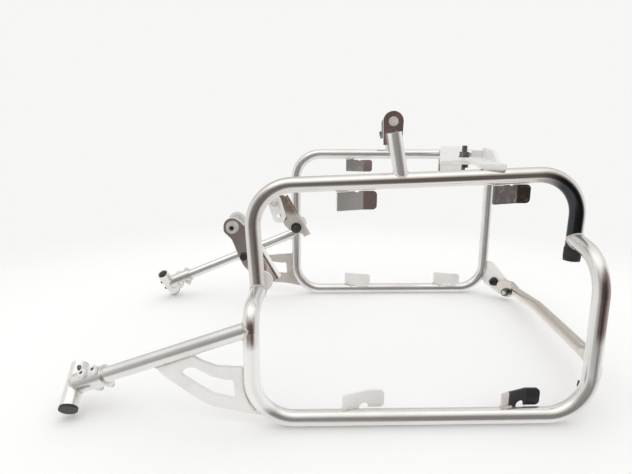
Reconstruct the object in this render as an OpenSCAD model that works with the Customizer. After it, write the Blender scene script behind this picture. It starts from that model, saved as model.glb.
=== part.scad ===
// Pannier frame for a motorbike: two tube sides, front arms with clamp ends, brackets and cross links
// Millimetres, Z up, X towards the bike's rear, near side at low Y, bottom tubes on Z = 0

/* [Tubes] */
// Outer diameter of the frame tubes
tube_d = 18; // [17:0.5:19]
// Wall of the frame tubes
tube_wall = 1.5; // [1:0.25:2]
// Centre line radius of the corner bends
bend_r = 47; // [44:1:50]

/* [Frame] */
// Leg to leg length of each side
loop_length = 373; // [366:1:380]
// Upper hoop plane to far loop plane
rack_width = 394.5; // [384.5:0.5:404.5]
// How far the near lower hoop stands outside the upper one
hoop_step = 63; // [59:0.5:67]
// How far the far loop sits to the rear of the near side
far_shift = 42.5; // [38:0.5:47]
// Centre line height of the top tubes at the rear
top_h = 273; // [270:0.5:277]
// Drop of the near top tube towards the front
top_fall = 15; // [11:0.5:17]

/* [Front arms] */
// Leg to cross tube, along the frame
arm_reach = 212; // [206:1:218]
// Height at which the near arm leaves its leg
arm_root_h = 114.5; // [112:0.5:117]
// Centre height of the cross tubes
cross_h = 28; // [28:0.5:31]
// Outer diameter of the cross tubes
cross_d = 21; // [20:0.5:22]
// Bore of the cross tubes
cross_bore = 17; // [16:0.5:17.5]
// Length of the cross tubes
cross_l = 54; // [48:1:54]
// Outer diameter of the clamp sleeves
sleeve_d = 24; // [23.5:0.5:25]
// Length of the clamp sleeves beyond the cross tube
sleeve_l = 34; // [32:1:38]
// Pitch of the two clamp bolts
bolt_pitch = 16; // [14:0.5:17]
// Thickness of the gusset plates
gusset_t = 4; // [3:0.5:5]

/* [Front brackets] */
// Bracket plate, inward of the leg plane
plate_in = 60; // [56:1:64]
// Link plate, inward of the leg plane
link_in = 106; // [100:1:112]
// Thickness of the bracket plates
plate_t = 4; // [3:0.5:5]
// Thickness of the link plates
link_t = 5; // [4:0.5:6]
// Depth of the folded flange
flange_w = 10; // [9:0.5:12]
// Radius of the link plate ends
link_r = 11.5; // [11:0.5:13]

/* [Hook tabs] */
// Length of a hook tab
tab_l = 47.5; // [44:0.5:50]
// Height of a hook tab
tab_h = 23; // [20:0.5:25]
// Plate thickness of the tabs
tab_t = 3; // [2.5:0.5:4]
// How far a tab's panel stands inward of its tube
tab_in = 12; // [10:0.5:14]

/* [Uprights] */
// Outer diameter of the uprights
upright_d = 16; // [15:0.5:17]
// Width of the eyelet plates
eye_w = 23; // [21:0.5:25]
// Hole in the eyelet plates
eye_hole = 8.5; // [7.5:0.5:10]

/* [Rear] */
// Outer diameter of the crossbar
bar_d = 18; // [17:0.5:19]
// Thickness of the corner brackets
corner_t = 4; // [3:0.5:5]
// Flange of the nuts on the corner brackets
flange_nut_d = 17; // [16:0.5:19]
// Width of the rear link strips
strip_w = 36; // [32:0.5:40]
// Thickness of the rear link strips
strip_t = 5; // [4:0.5:6]

/* [Fasteners] */
// Thread of the large bolts
m8 = 8; // [7.5:0.25:8.25]
// Thread of the clamp bolts
m6 = 6; // [5:0.25:6.25]
// Slack of a bolt in its hole
hole_play = 0.4; // [0.4:0.1:0.8]
// Gap at a coped or seated joint
seat_gap = 0.2; // [0.15:0.05:0.3]

/* [Hidden] */
$fn = 48;

steel = [0.78, 0.76, 0.73];
black = [0.06, 0.06, 0.06];
dark = [0.14, 0.13, 0.12];

// Tube radii
tube_r = tube_d / 2;
tube_id = tube_d - 2 * tube_wall;
lip = 0.02;
joint_l = 0.4;

// Frame stations, near side upper plane at Y = 0
xl = -56.2;
xr = xl + loop_length;
xlf = xl + far_shift;
xrf = xr + far_shift;
yn = -hoop_step;
yf = rack_width;
low_z = tube_r;
far_top = top_h + 2;
lean = 3.2;

// The whole part is moved so that the middle of its underside is the origin
mid = [(xrf - arm_reach + xl) / 2 + 16.3, (yf + yn) / 2, 0];

function unit(v) = v / norm(v);
function perp(v, d) = unit(v - (v * d) * d);
function ref_for(z) = abs(z.z) > 0.9 ? [1, 0, 0] : [0, 0, 1];
function dir(p, i) = unit(p[i + 1] - p[i]);
function turn(p, i) = acos(dir(p, i - 1) * dir(p, i));
function tang(p, i, r) = (i <= 0 || i >= len(p) - 1) ? 0 : r[i - 1] * tan(turn(p, i) / 2);

// Plate outlines: every corner with a radius becomes an arc
function swing(o, r, a, d, n) = [for (i = [0 : n]) o + r * [cos(a + d * i / n), sin(a + d * i / n)]];
function corner(a, b, c, r) =
    let (u = unit(a - b), v = unit(c - b), h = acos(u * v) / 2)
    let (o = b + unit(u + v) * r / sin(h), p = b + u * r / tan(h) - o, q = b + v * r / tan(h) - o)
    let (s = atan2(p.y, p.x), e = atan2(q.y, q.x))
    swing(o, r, s, (e - s + 540) % 360 - 180, 6);
function rounded(p, r) =
    let (n = len(p))
    [for (i = [0 : n - 1]) each r[i] == 0 ? [p[i]] : corner(p[(i + n - 1) % n], p[i], p[(i + 1) % n], r[i])];

module frame_at(o, x, y, z) {
    multmatrix([[x.x, y.x, z.x, o.x], [x.y, y.y, z.y, o.y], [x.z, y.z, z.z, o.z], [0, 0, 0, 1]]) children();
}

module along(a, z) {
    x = unit(cross(ref_for(z), z));
    frame_at(a, x, cross(z, x), z) children();
}

module ring(od, id) {
    difference() {
        circle(d = od);
        circle(d = id);
    }
}

module pipe(od, id, l) {
    linear_extrude(l) ring(od, id);
}

module hex(af, h) {
    cylinder(d = af / cos(30), h = h, $fn = 6);
}

module bend_at(a, b, c, r) {
    u = unit(a - b);
    v = unit(c - b);
    th = acos(u * v);
    o = b + unit(u + v) * r / sin(th / 2);
    x = (b + u * r / tan(th / 2) - o) / r;
    frame_at(o, x, -u, cross(x, -u)) rotate_extrude(angle = 180 - th) translate([r, 0]) children();
}

// A bent tube: straight pieces and bends, with a hair-thin ring bridging each place where they meet
module tube_path(p, r, od, id) {
    n = len(p) - 1;
    for (i = [0 : n - 1]) {
        t0 = tang(p, i, r);
        t1 = tang(p, i + 1, r);
        g0 = i > 0 ? joint_l / 4 : 0;
        g1 = i < n - 1 ? joint_l / 4 : 0;
        l = norm(p[i + 1] - p[i]);
        along(p[i], dir(p, i)) {
            translate([0, 0, t0 + g0]) pipe(od, id, l - t0 - t1 - g0 - g1);
            if (i > 0) translate([0, 0, t0 - joint_l / 4]) pipe(od + lip, id - lip, joint_l);
            if (i < n - 1) translate([0, 0, l - t1 - joint_l * 3 / 4]) pipe(od + lip, id - lip, joint_l);
        }
    }
    for (i = [1 : n - 1]) bend_at(p[i - 1], p[i], p[i + 1], r[i - 1]) ring(od, id);
}

// A solid rod from a to b, used to cope one piece round another
module rod(a, b, d) {
    along(a, unit(b - a)) cylinder(d = d, h = norm(b - a));
}

module steel_part() {
    color(steel) translate(-mid) children();
}

module black_part() {
    color(black) translate(-mid) children();
}

module dark_part() {
    color(dark) translate(-mid) children();
}

// Near side pieces as they are, far side pieces mirrored across the frame
module on_side(far) {
    if (far) translate([far_shift, rack_width, 0]) mirror([0, 1, 0]) children();
    else children();
}

// Main tubes
upper_path = [
    [xl + lean, 0, 128],
    [xl - 4.2, 0, top_h - top_fall],
    [xr + 0.6, 0, top_h],
    [xr - 1.3, 0, 174]
];
lower_path = [
    [xl + lean, 0, 136.5],
    [xl, yn, 132],
    [xl, yn, low_z],
    [xr, yn, low_z],
    [xr, yn, 184],
    [xr - 1, 0, 197]
];
lower_bends = [22, bend_r, bend_r, bend_r];
function near_top(x) = [x, 0, top_h - top_fall * (xr + 0.6 - x) / (xr - xl + 4.8)];
function front_leg(z) = xl + lean - 7.4 * (z - 128) / (top_h - top_fall - 128);

cope_d = tube_d + 2 * seat_gap;
bend_cope_d = tube_d + 0.1;

module near_front_leg(d) {
    rod([front_leg(100), 0, 100], [front_leg(220), 0, 220], d);
}

module near_rear_leg(d) {
    rod([xr - 1.3, 0, 174], [xr + 0.6, 0, top_h], d);
}

module near_upper_hoop() {
    steel_part() tube_path(upper_path, [bend_r, bend_r], tube_d, tube_id);
}

module near_lower_hoop() {
    steel_part() difference() {
        tube_path(lower_path, lower_bends, tube_d, tube_id);
        near_front_leg(cope_d);
        near_rear_leg(cope_d);
    }
}

module far_loop() {
    mid_x = (xlf + xrf) / 2;
    loop = [
        [mid_x, yf, low_z], [xlf, yf, low_z], [xlf, yf, far_top],
        [xrf, yf, far_top], [xrf, yf, low_z], [mid_x, yf, low_z]
    ];
    steel_part() tube_path(loop, [bend_r, bend_r, bend_r, bend_r], tube_d, tube_id);
}

// Plug in the open rear end of the upper hoop
plug_cap = 3;
module hoop_end_plug() {
    black_part() along(upper_path[3], dir(upper_path, 2)) {
        cylinder(d = tube_d + 1, h = plug_cap);
        translate([0, 0, -10]) cylinder(d = tube_id - 2 * seat_gap, h = 10.5);
    }
}

// Hook tabs: a foot on the tube, a web that runs inward and a panel parallel to the frame
tab_front = 94;
tab_rear = 273;
foot_l = 13;
module tab_blank() {
    bend_x = 0.66 * tab_l;
    a = atan2(tab_in, bend_x);
    n = [-sin(a), cos(a)] * tab_t / 2;
    m = [-tan(a / 2), 1] * tab_t / 2;
    e = [0, tab_t / 2];
    polygon([n, [bend_x, tab_in] + m, [tab_l, tab_in] + e, [tab_l, tab_in] - e, [bend_x, tab_in] - m, -n]);
}

module tab_face(h, low, relief) {
    top = tube_r + h;
    face = [[-2, 4], [foot_l, 4], [foot_l, low], [tab_l, low], [tab_l, top], [-2, top]];
    difference() {
        polygon(rounded(face, [0, 0, 0, 5, 5, 4]));
        translate([foot_l + 11, tube_r - 1.5]) circle(r = relief);
    }
}

// Up = 1 stands on a tube, up = -1 hangs from one; the near low tabs are shorter and reach down beside their tube
module tab(at, up, far) {
    h = up > 0 && far == 0 ? tab_h - 6 : tab_h;
    low = up > 0 && far == 0 ? tube_r - 3 : tube_r + 1;
    translate(at) mirror([0, far, 0]) mirror([0, 0, up < 0 ? 1 : 0]) intersection() {
        linear_extrude(tube_r + tab_h + 2) tab_blank();
        translate([0, tab_in + tab_t, 0]) rotate([90, 0, 0]) linear_extrude(tab_in + 2 * tab_t)
            tab_face(h, low, up > 0 ? 5.5 : 4);
    }
}

module near_top_tab(x) {
    steel_part() difference() {
        tab(near_top(x), -1, 0);
        rod(near_top(x - 20), near_top(x + 70), cope_d);
    }
}

module flat_tab(x, y, z, up, far) {
    steel_part() difference() {
        tab([x, y, z], up, far);
        rod([x - 20, y, z], [x + 70, y, z], cope_d);
    }
}

module tab_near_top_front() {
    near_top_tab(xl + tab_front);
}

module tab_near_top_rear() {
    near_top_tab(xl + tab_rear);
}

module tab_near_low_front() {
    flat_tab(xl + tab_front + 5, yn, low_z, 1, 0);
}

module tab_near_low_rear() {
    flat_tab(xl + tab_rear + 3, yn, low_z, 1, 0);
}

module tab_far_top_front() {
    flat_tab(xlf + tab_front + 2, yf, far_top, -1, 1);
}

module tab_far_top_rear() {
    flat_tab(xlf + tab_rear, yf, far_top, -1, 1);
}

module tab_far_low_front() {
    flat_tab(xlf + tab_front + 3, yf, low_z, 1, 1);
}

module tab_far_low_rear() {
    flat_tab(xlf + tab_rear + 2, yf, low_z, 1, 1);
}

// Uprights with their eyelet plates
upright_lean = 10;
eye_t = 4;
near_foot = near_top(111);
far_foot = [167, yf, far_top];
function upright_h(foot) = foot.y > 0 ? 36 : 44;

module upright(foot) {
    top = foot + [-upright_lean, 0, tube_r + upright_h(foot)];
    tube_dir = foot.y > 0 ? [1, 0, 0] : dir(upper_path, 1);
    steel_part() difference() {
        along(foot, unit(top - foot)) pipe(upright_d, upright_d - 3, norm(top - foot));
        rod(foot - 30 * tube_dir, foot + 30 * tube_dir, cope_d);
        if (foot.y > 0) at_cross_bolt() cylinder(d = m8 + hole_play, h = upright_d);
    }
}

// The far upright takes a bolt square to its axis, towards the front
cross_bolt_z = 30;
module at_cross_bolt() {
    d = unit([-upright_lean, 0, tube_r + upright_h(far_foot)]);
    along(far_foot + d * (tube_r + cross_bolt_z), [-d.z, 0, d.x]) children();
}

module eyelet_at(foot, far) {
    eye = foot + [-upright_lean, 0, tube_r + upright_h(foot) + 12];
    translate(eye) mirror([0, far, 0]) translate([0, upright_d / 2 + seat_gap + eye_t, 0]) rotate([90, 0, 0]) children();
}

module eyelet_plate() {
    r = eye_w / 2;
    linear_extrude(eye_t) difference() {
        union() {
            circle(r = r);
            polygon([[-r + lip, 0], [-r + lip + 1, -26], [r - lip - 1, -26], [r - lip, 0]]);
        }
        circle(d = eye_hole);
    }
}

module near_upright() {
    upright(near_foot);
}

module far_upright() {
    upright(far_foot);
}

module near_eyelet() {
    steel_part() eyelet_at(near_foot, 0) eyelet_plate();
}

module far_eyelet() {
    steel_part() eyelet_at(far_foot, 1) eyelet_plate();
}

// Button head screw in the near eyelet, its head towards the rider's hand
module near_eyelet_screw() {
    steel_part() eyelet_at(near_foot, 0) {
        translate([0, 0, eye_t]) cylinder(d = 10.5, h = 2.2);
        translate([0, 0, -8]) cylinder(d = eye_hole - hole_play, h = 8 + eye_t);
    }
}

// Hex bolt across the far upright
module far_upright_bolt() {
    black_part() at_cross_bolt() {
        translate([0, 0, upright_d / 2 + seat_gap]) hex(13, 5.3);
        translate([0, 0, 1]) cylinder(d = m8, h = upright_d / 2 + 1);
    }
}

// Front arms: a local frame on each cross tube, z back along the arm, x towards the plugged low end
near_root = [xl, yn, arm_root_h];
far_root = [xlf, yf, arm_root_h + 10];
near_cross = [xl - arm_reach, yn + 44.3, cross_h];
far_cross = [xl - arm_reach + 7.4, yf - 20.6, cross_h + 0.5];
near_tilt = [0.12, -0.84, -0.53];
far_tilt = [0.25, 0.54, -0.8];

module at_clamp(far) {
    o = far ? far_cross : near_cross;
    z = unit((far ? far_root : near_root) - o);
    x = perp(far ? far_tilt : near_tilt, z);
    frame_at(o, x, cross(z, x), z) children();
}

// Bolt stations, y away from the bolt heads
module at_bolts(far) {
    for (z = [-0.5, 0.5]) at_clamp(far) translate([0, 0, cross_d / 2 + sleeve_l / 2 + 2.5 + z * bolt_pitch])
        rotate([0, 0, far ? 187 : -6]) rotate([-90, 0, 0]) children();
}

spot = sleeve_d / 2 - 0.7;
arm_back = 13;
module arm(far) {
    root = far ? far_root : near_root;
    l = norm(root - (far ? far_cross : near_cross));
    steel_part() difference() {
        at_clamp(far) translate([0, 0, arm_back]) pipe(tube_d, tube_id, l - arm_back);
        rod([root.x, root.y, 50], [root.x, root.y, far ? 190 : 111.6], cope_d);
        if (!far) bend_at(lower_path[0], lower_path[1], lower_path[2], lower_bends[0]) circle(d = bend_cope_d);
        at_bolts(far) cylinder(d = m6 + hole_play, h = 2 * sleeve_d, center = true);
    }
}

module near_arm() {
    arm(false);
}

module far_arm() {
    arm(true);
}

module sleeve(far) {
    steel_part() difference() {
        at_clamp(far) translate([0, 0, 3]) pipe(sleeve_d, tube_d + 2 * seat_gap, cross_d / 2 + sleeve_l - 3);
        at_clamp(far) rotate([0, 90, 0]) cylinder(d = cross_d + 2 * seat_gap, h = 60, center = true);
        at_bolts(far) cylinder(d = m6 + hole_play, h = 2 * sleeve_d, center = true);
        at_bolts(far) translate([0, 0, spot]) cylinder(d = 13, h = 5);
        at_bolts(far) translate([0, 0, -spot - 5]) cylinder(d = 13, h = 5);
    }
}

module near_sleeve() {
    sleeve(false);
}

module far_sleeve() {
    sleeve(true);
}

// The far cross tube is the shorter one
cross_in = 25.5;
// Each plug sits in a counterbore and stops just short of its shoulder
plug_l = 9;
plug_bore = cross_bore + 1.2;
function cross_out(far) = far ? cross_l - cross_in - 5.5 : cross_l - cross_in;
module cross_tube(far) {
    x = far ? -cross_in - 2.5 : -cross_in;
    l = cross_out(far) - x;
    steel_part() at_clamp(far) translate([x, 0, 0]) rotate([0, 90, 0]) difference() {
        pipe(cross_d, cross_bore, l);
        translate([0, 0, l - plug_l - seat_gap]) cylinder(d = plug_bore, h = plug_l + 1);
    }
}

module near_cross_tube() {
    cross_tube(false);
}

module far_cross_tube() {
    cross_tube(true);
}

module cross_plug(far) {
    black_part() at_clamp(far) translate([cross_out(far), 0, 0]) rotate([0, 90, 0]) {
        cylinder(d = cross_d, h = far ? 1.5 : 3);
        translate([0, 0, -plug_l]) cylinder(d = plug_bore - 2 * seat_gap, h = plug_l + 0.5);
    }
}

module near_cross_plug() {
    cross_plug(false);
}

module far_cross_plug() {
    cross_plug(true);
}

module clamp_bolts() {
    steel_part() for (far = [false, true]) at_bolts(far) {
        translate([0, 0, -spot - 4.6]) hex(10, 4.6);
        translate([0, 0, -spot - 0.5]) cylinder(d = m6, h = 2 * spot + 10);
    }
}

module clamp_nuts() {
    steel_part() for (far = [false, true]) at_bolts(far) translate([0, 0, spot]) difference() {
        hex(10, 5);
        translate([0, 0, -1]) cylinder(d = m6 + 2 * seat_gap, h = 7);
    }
}

// Small black screws that stop the cross tubes from turning
module cross_screw() {
    translate([0, 0, cross_d / 2 + seat_gap]) cylinder(d = 5, h = 2.2);
}

module cross_tube_screws() {
    black_part() {
        at_clamp(false) translate([-16, 0, 0]) rotate([45, 0, 0]) cross_screw();
        for (x = [-9, 9]) at_clamp(true) translate([x, 0, 0]) rotate([180, 0, 0]) cross_screw();
    }
}

// Gussets lie in the upright plane of the arm, s out from the leg and z up
function arm_z(far, s) = let (a = far ? far_root : near_root, b = far ? far_cross : near_cross)
    a.z - s * (a.z - b.z) / norm([a.x - b.x, a.y - b.y]);

module gusset_outline(far) {
    top = arm_z(far, 68);
    out = arm_z(far, 110);
    h = far ? 12 : 0;
    w = far ? 10 : 0;
    b = far ? 4.5 : 0;
    edge = [
        [113, out - 1], [109.5, out - 12], [101.4, 50.5 + b], [61.3, 26 + b], [46, 20 + b], [20.7, 17.6 + b], [-9.8, 15],
        [-14, 24], [-5, 42], [0, 60], [0, 69.5 + h], [13.3, 69.3 + h], [39.5, 68.2 + h], [56, 72.5 + h / 2],
        [68, top - 9], [71, top - 2]
    ];
    window = [
        [82.3, arm_z(far, 82) - 26.5], [77, arm_z(far, 77) - 22.3], [68, arm_z(far, 68) - 21.5], [46, 56 + w],
        [29.7, 53.6 + w], [20.6, 54 + w], [19.1, 31.4 + w], [27, 32.6 + w], [44.4, 34.8 + w], [60.3, 42.4 + w]
    ];
    difference() {
        polygon(rounded(edge, [0, 0, 12, 0, 20, 0, 0, 0, 0, 0, 0, 0, 20, 14, 0, 0]));
        polygon(rounded(window, [2, 5, 12, 14, 12, 3, 3, 10, 12, 8]));
    }
}

module gusset(far) {
    root = far ? far_root : near_root;
    g = unit([(far ? far_cross : near_cross).x - root.x, (far ? far_cross : near_cross).y - root.y, 0]);
    base = [root.x, root.y, 0];
    steel_part() difference() {
        frame_at(base, g, [0, 0, 1], cross(g, [0, 0, 1])) translate([0, 0, -gusset_t / 2]) linear_extrude(gusset_t)
            gusset_outline(far);
        rod(base + [0, 0, low_z + bend_r - 1], base + [0, 0, 100], cope_d);
        bend_at(base + [0, 0, 100], base + [0, 0, low_z], base + [100, 0, low_z], bend_r) circle(d = bend_cope_d);
        at_clamp(far) translate([0, 0, arm_back]) cylinder(d = cope_d, h = 200);
    }
}

module near_gusset() {
    gusset(false);
}

module far_gusset() {
    gusset(true);
}

// Front brackets, X measured from the leg
leg_x = xl - 0.5;
function top_bolt(far) = far ? [leg_x - 35, 0, 199.5] : [leg_x - 32.5, 0, 200.5];
low_bolt = [leg_x + 1, 0, 145];
function free_hole(far) = [leg_x - (far ? 27.5 : 29), 0, 174.5];
side_screw = [leg_x - 19.4, 0, 162.3];
plate_out = plate_in - plate_t / 2;

// Y axis pieces: origin at depth y, drawn inward
module inward(at, y) {
    translate([at.x, y, at.z]) rotate([-90, 0, 0]) children();
}

fold_r = plate_t + 2;
edge_low = [leg_x + 27.5, 134];
edge_top = [leg_x - 14, 206];
edge_l = norm(edge_top - edge_low);

module bracket_plate(far) {
    u = unit(edge_top - edge_low);
    w = [-u.y, u.x];
    in = w * fold_r;
    top = [top_bolt(far).x, top_bolt(far).z];
    face = [
        edge_low + in + [0, 0.2], [leg_x + 8, 134.8], [leg_x - 12, 141], [leg_x - 20, 150], [leg_x - 26, 163],
        top + [-1, -16.5], top + [-11.4, -6], top + [-11.4, 11.4], top + [3, 11.4], top + [10, 6.5], edge_top + in
    ];
    steel_part() on_side(far) difference() {
        union() {
            translate([0, plate_out + plate_t, 0]) rotate([90, 0, 0]) linear_extrude(plate_t)
                polygon(rounded(face, [0, 8, 12, 14, 40, 10, 6, 11, 8, 5, 0]));
            frame_at([edge_top.x, plate_out, edge_top.y], [w.x, 0, w.y], [0, 1, 0], [-u.x, 0, -u.y])
                translate([0, 0, 0.5]) linear_extrude(edge_l - 1) fold();
        }
        inward(top_bolt(far), plate_in - 10) cylinder(d = m8 + hole_play, h = 20);
        inward(low_bolt, plate_in - 10) cylinder(d = m8 + hole_play, h = 20);
        inward(side_screw, plate_in - 10) cylinder(d = m6 + hole_play, h = 20);
    }
}

// Section of the folded flange: a short stub in the plate, a quarter bend and the flange
module fold() {
    t = plate_t - 2 * lip;
    translate([fold_r - 0.5, lip]) square([8, t]);
    translate([fold_r, fold_r]) intersection() {
        ring(2 * (fold_r - lip), 2 * (fold_r - plate_t + lip));
        translate([-fold_r, -fold_r]) square([fold_r, fold_r]);
    }
    translate([lip, fold_r - 0.5]) square([t, flange_w - fold_r]);
}

module near_bracket_plate() {
    bracket_plate(false);
}

module far_bracket_plate() {
    bracket_plate(true);
}

link_out = link_in - link_t / 2;
module link_plate(far) {
    u = unit(free_hole(far) - top_bolt(far));
    l = norm(free_hole(far) - top_bolt(far));
    half = link_r - lip;
    steel_part() on_side(far) difference() {
        frame_at([top_bolt(far).x, link_out, top_bolt(far).z], u, cross([0, 1, 0], u), [0, 1, 0]) {
            linear_extrude(link_t) {
                circle(r = link_r);
                translate([l, 0]) circle(r = link_r);
                translate([0, -half]) square([l, 2 * half]);
            }
            translate([2, lip - half, link_t - 0.5]) cube([l - 4, 4, 6.5]);
        }
        inward(top_bolt(far), link_in - 10) cylinder(d = m8 + hole_play, h = 20);
        inward(free_hole(far), link_in - 10) cylinder(d = m8 + hole_play, h = 20);
    }
}

module near_link_plate() {
    link_plate(false);
}

module far_link_plate() {
    link_plate(true);
}

module link_spacer(far) {
    y = plate_in + plate_t / 2;
    steel_part() on_side(far) inward(top_bolt(far), y) pipe(16, m8 + hole_play, link_out - y);
}

module near_link_spacer() {
    link_spacer(false);
}

module far_link_spacer() {
    link_spacer(true);
}

// Ears welded to the inner side of the front legs
ear_y = 6.5;
ear_t = 4;
module ear(far) {
    steel_part() difference() {
        on_side(far) inward(low_bolt, ear_y) linear_extrude(ear_t) {
            translate([7.2, 0]) circle(r = 12);
            translate([1.5, 0]) circle(r = 9.5);
        }
        on_side(far) inward(low_bolt, 0) cylinder(d = m8 + hole_play, h = 20);
        if (far) rod([xlf, yf, 100], [xlf, yf, 200], cope_d);
        else near_front_leg(cope_d);
    }
}

module near_ear() {
    ear(false);
}

module far_ear() {
    ear(true);
}

module ear_spacer(far) {
    y = ear_y + ear_t;
    steel_part() on_side(far) inward(low_bolt, y) pipe(15, m8 + hole_play, plate_out - y);
}

module near_ear_spacer() {
    ear_spacer(false);
}

module far_ear_spacer() {
    ear_spacer(true);
}

washer_t = 1.6;
module both_sides() {
    on_side(false) children();
    on_side(true) children();
}

module link_bolts() {
    y = plate_out - washer_t;
    dark_part() for (far = [false, true]) on_side(far) {
        inward(top_bolt(far), y - 8) difference() {
            cylinder(d = 13, h = 8);
            translate([0, 0, -1]) hex(6, 5);
        }
        inward(top_bolt(far), y - 0.5) cylinder(d = m8, h = link_in + link_t / 2 + 9 - y);
    }
}

module link_washers() {
    steel_part() for (far = [false, true]) on_side(far)
        inward(top_bolt(far), plate_out - washer_t) pipe(16, m8 + hole_play, washer_t);
}

module link_nuts() {
    steel_part() for (far = [false, true]) on_side(far) inward(top_bolt(far), link_in + link_t / 2) difference() {
        hex(13, 6.5);
        translate([0, 0, -1]) cylinder(d = m8 + 2 * seat_gap, h = 9);
    }
}

rubber_t = 3;
module rubber_washers() {
    black_part() both_sides() inward(low_bolt, plate_in + plate_t / 2) pipe(18.5, m8 + hole_play, rubber_t);
}

module ear_bolts() {
    y = plate_in + plate_t / 2 + rubber_t;
    dark_part() both_sides() {
        inward(low_bolt, y) hex(13, 5.5);
        inward(low_bolt, ear_y + ear_t + 1) cylinder(d = m8, h = y + 0.5 - ear_y - ear_t - 1);
    }
}

module plate_screws() {
    black_part() both_sides() {
        inward(side_screw, plate_out - 3.5) cylinder(d = 9.5, h = 3.5);
        inward(side_screw, plate_out - 1) cylinder(d = m6, h = plate_t + 3);
    }
}

// Corner brackets: local frame with s outward along the plate, z up, y through it
corner_g = unit([0.63, 0.777, 0]);
corner_n = [-corner_g.y, corner_g.x, 0];
module at_corner(far) {
    translate([xr, yn, 0]) if (far) translate([far_shift, yf - yn, 0]) mirror([0, 1, 0]) frame_at([0, 0, 0], corner_g, corner_n, [0, 0, 1]) children();
    else frame_at([0, 0, 0], corner_g, corner_n, [0, 0, 1]) children();
}

bolt_s = 57.5;
far_bolt_z = 15;
near_bolt_z = 36;
tab_drop = 8;
stud_s = 29;
stud_z = 28.5;
module corner_outline(z) {
    tight = z > 30;
    edge = [
        [0, 30], [9, 19.5], [23, 14.2], [34, z - 6], [50, z - 11.5], [bolt_s + 11, z - 11.5], [bolt_s + 11, z + 11.5],
        [50, z + 26], [33, 56], [22.5, 65.8], [0, 66]
    ];
    difference() {
        polygon(rounded(edge, [0, 4, tight ? 9 : 20, tight ? 12 : 16, 10, 11, 11, 14, 16, 8, 0]));
        translate([stud_s, stud_z]) circle(d = m8 + hole_play);
        translate([bolt_s, z]) circle(d = m8 + hole_play);
    }
}

module corner_bracket(far) {
    z = far ? far_bolt_z : near_bolt_z;
    base = far ? [xrf, yf, 0] : [xr, yn, 0];
    steel_part() difference() {
        at_corner(far) translate([0, corner_t / 2, 0]) rotate([90, 0, 0]) linear_extrude(corner_t)
            corner_outline(z);
        rod(base + [0, 0, low_z + bend_r - 1], base + [0, 0, 120], cope_d);
        bend_at(base + [0, 0, 100], base + [0, 0, low_z], base + [-100, 0, low_z], bend_r) circle(d = bend_cope_d);
    }
}

module near_corner_bracket() {
    corner_bracket(false);
}

module far_corner_bracket() {
    corner_bracket(true);
}

// Crossbar: pressed flat ends that lie on the inner face of the corner brackets
press_t = 5;
press_w = 28;
bar_s = bolt_s + 11;
function corner_pt(far, s, y, z) = let (p = corner_g * s + corner_n * y)
    far ? [xrf + p.x, yf - p.y, z] : [xr + p.x, yn + p.y, z];
bar_y = corner_t / 2 + press_t / 2;
near_end = corner_pt(false, bar_s, bar_y, near_bolt_z + tab_drop);
far_end = corner_pt(true, bar_s, bar_y, far_bolt_z + tab_drop);
knee = [xrf + 21.5, 200, 39.9];

// A flat tab with a round end, then a pressed transition into the round bar
module press_end(far) {
    e = far ? far_end : near_end;
    d = unit(knee - e);
    m = [d.x, far ? -d.y : d.y, 0];
    v = [m * corner_g, m * corner_n, d.z];
    at_corner(far) translate([bar_s, bar_y, e.z]) {
        translate([0, press_t / 2, 0]) rotate([90, 0, 0]) linear_extrude(press_t) difference() {
            union() {
                translate([bolt_s - bar_s - 6, 0]) circle(d = press_w);
                translate([bolt_s - bar_s - 6, lip - press_w / 2]) square([bar_s - bolt_s + 5, press_w - 2 * lip]);
            }
            translate([bolt_s - bar_s, -tab_drop]) circle(d = m8 + hole_play);
        }
        hull() {
            translate([-2, -press_t / 2 + 0.1, -press_w / 2 + 0.2]) cube([2, press_t - 0.2, press_w - 0.4]);
            along(v * 30, v) cylinder(d = bar_d - 0.1, h = 1, $fn = 24);
        }
    }
}

module crossbar() {
    steel_part() {
        tube_path([near_end + unit(knee - near_end) * 30.5, knee, far_end + unit(knee - far_end) * 30.5], [60],
            bar_d, bar_d - 3);
        press_end(false);
        press_end(true);
    }
}

module at_bar_bolt(far) {
    at_corner(far) translate([bolt_s, 0, far ? far_bolt_z : near_bolt_z]) rotate([-90, 0, 0]) children();
}

// Low round heads on the outer side, black nuts on the inner side
module bar_bolts() {
    steel_part() for (far = [false, true]) at_bar_bolt(far) {
        translate([0, 0, -corner_t / 2 - 2]) cylinder(d = 15, h = 2);
        translate([0, 0, -corner_t / 2 - 0.5]) cylinder(d = m8, h = corner_t + press_t + 9);
    }
}

module bar_nuts() {
    black_part() for (far = [false, true]) at_bar_bolt(far) translate([0, 0, corner_t / 2 + press_t]) difference() {
        hex(13, 6.5);
        translate([0, 0, -1]) cylinder(d = m8 + 2 * seat_gap, h = 9);
    }
}

// Black stud set in each corner bracket with a flange nut, its end towards the other side
module at_stud(far) {
    at_corner(far) translate([stud_s, 0, stud_z]) rotate([-90, 0, 0]) children();
}

module corner_bolts() {
    black_part() for (far = [false, true]) at_stud(far) translate([0, 0, -corner_t / 2]) {
        cylinder(d = m8, h = corner_t + (far ? 11 : 14));
    }
}

module corner_nuts() {
    black_part() for (far = [false, true]) at_stud(far) translate([0, 0, corner_t / 2]) difference() {
        union() {
            cylinder(d = flange_nut_d, h = 2);
            hex(13, 8);
        }
        translate([0, 0, -1]) cylinder(d = m8 + 2 * seat_gap, h = 10);
    }
}

// Rear link: two strips side by side whose end pads overlap at one bolt
joint = [245, 200, 275];
near_seat = near_top(214) + [0, 0, tube_r];
far_seat = [279.7, yf, far_top + tube_r];
near_run = unit([0.241, 0.97, 0]);
far_run = unit([-0.263, -0.965, 0]);
near_strip_w = strip_w - 8;

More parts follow.
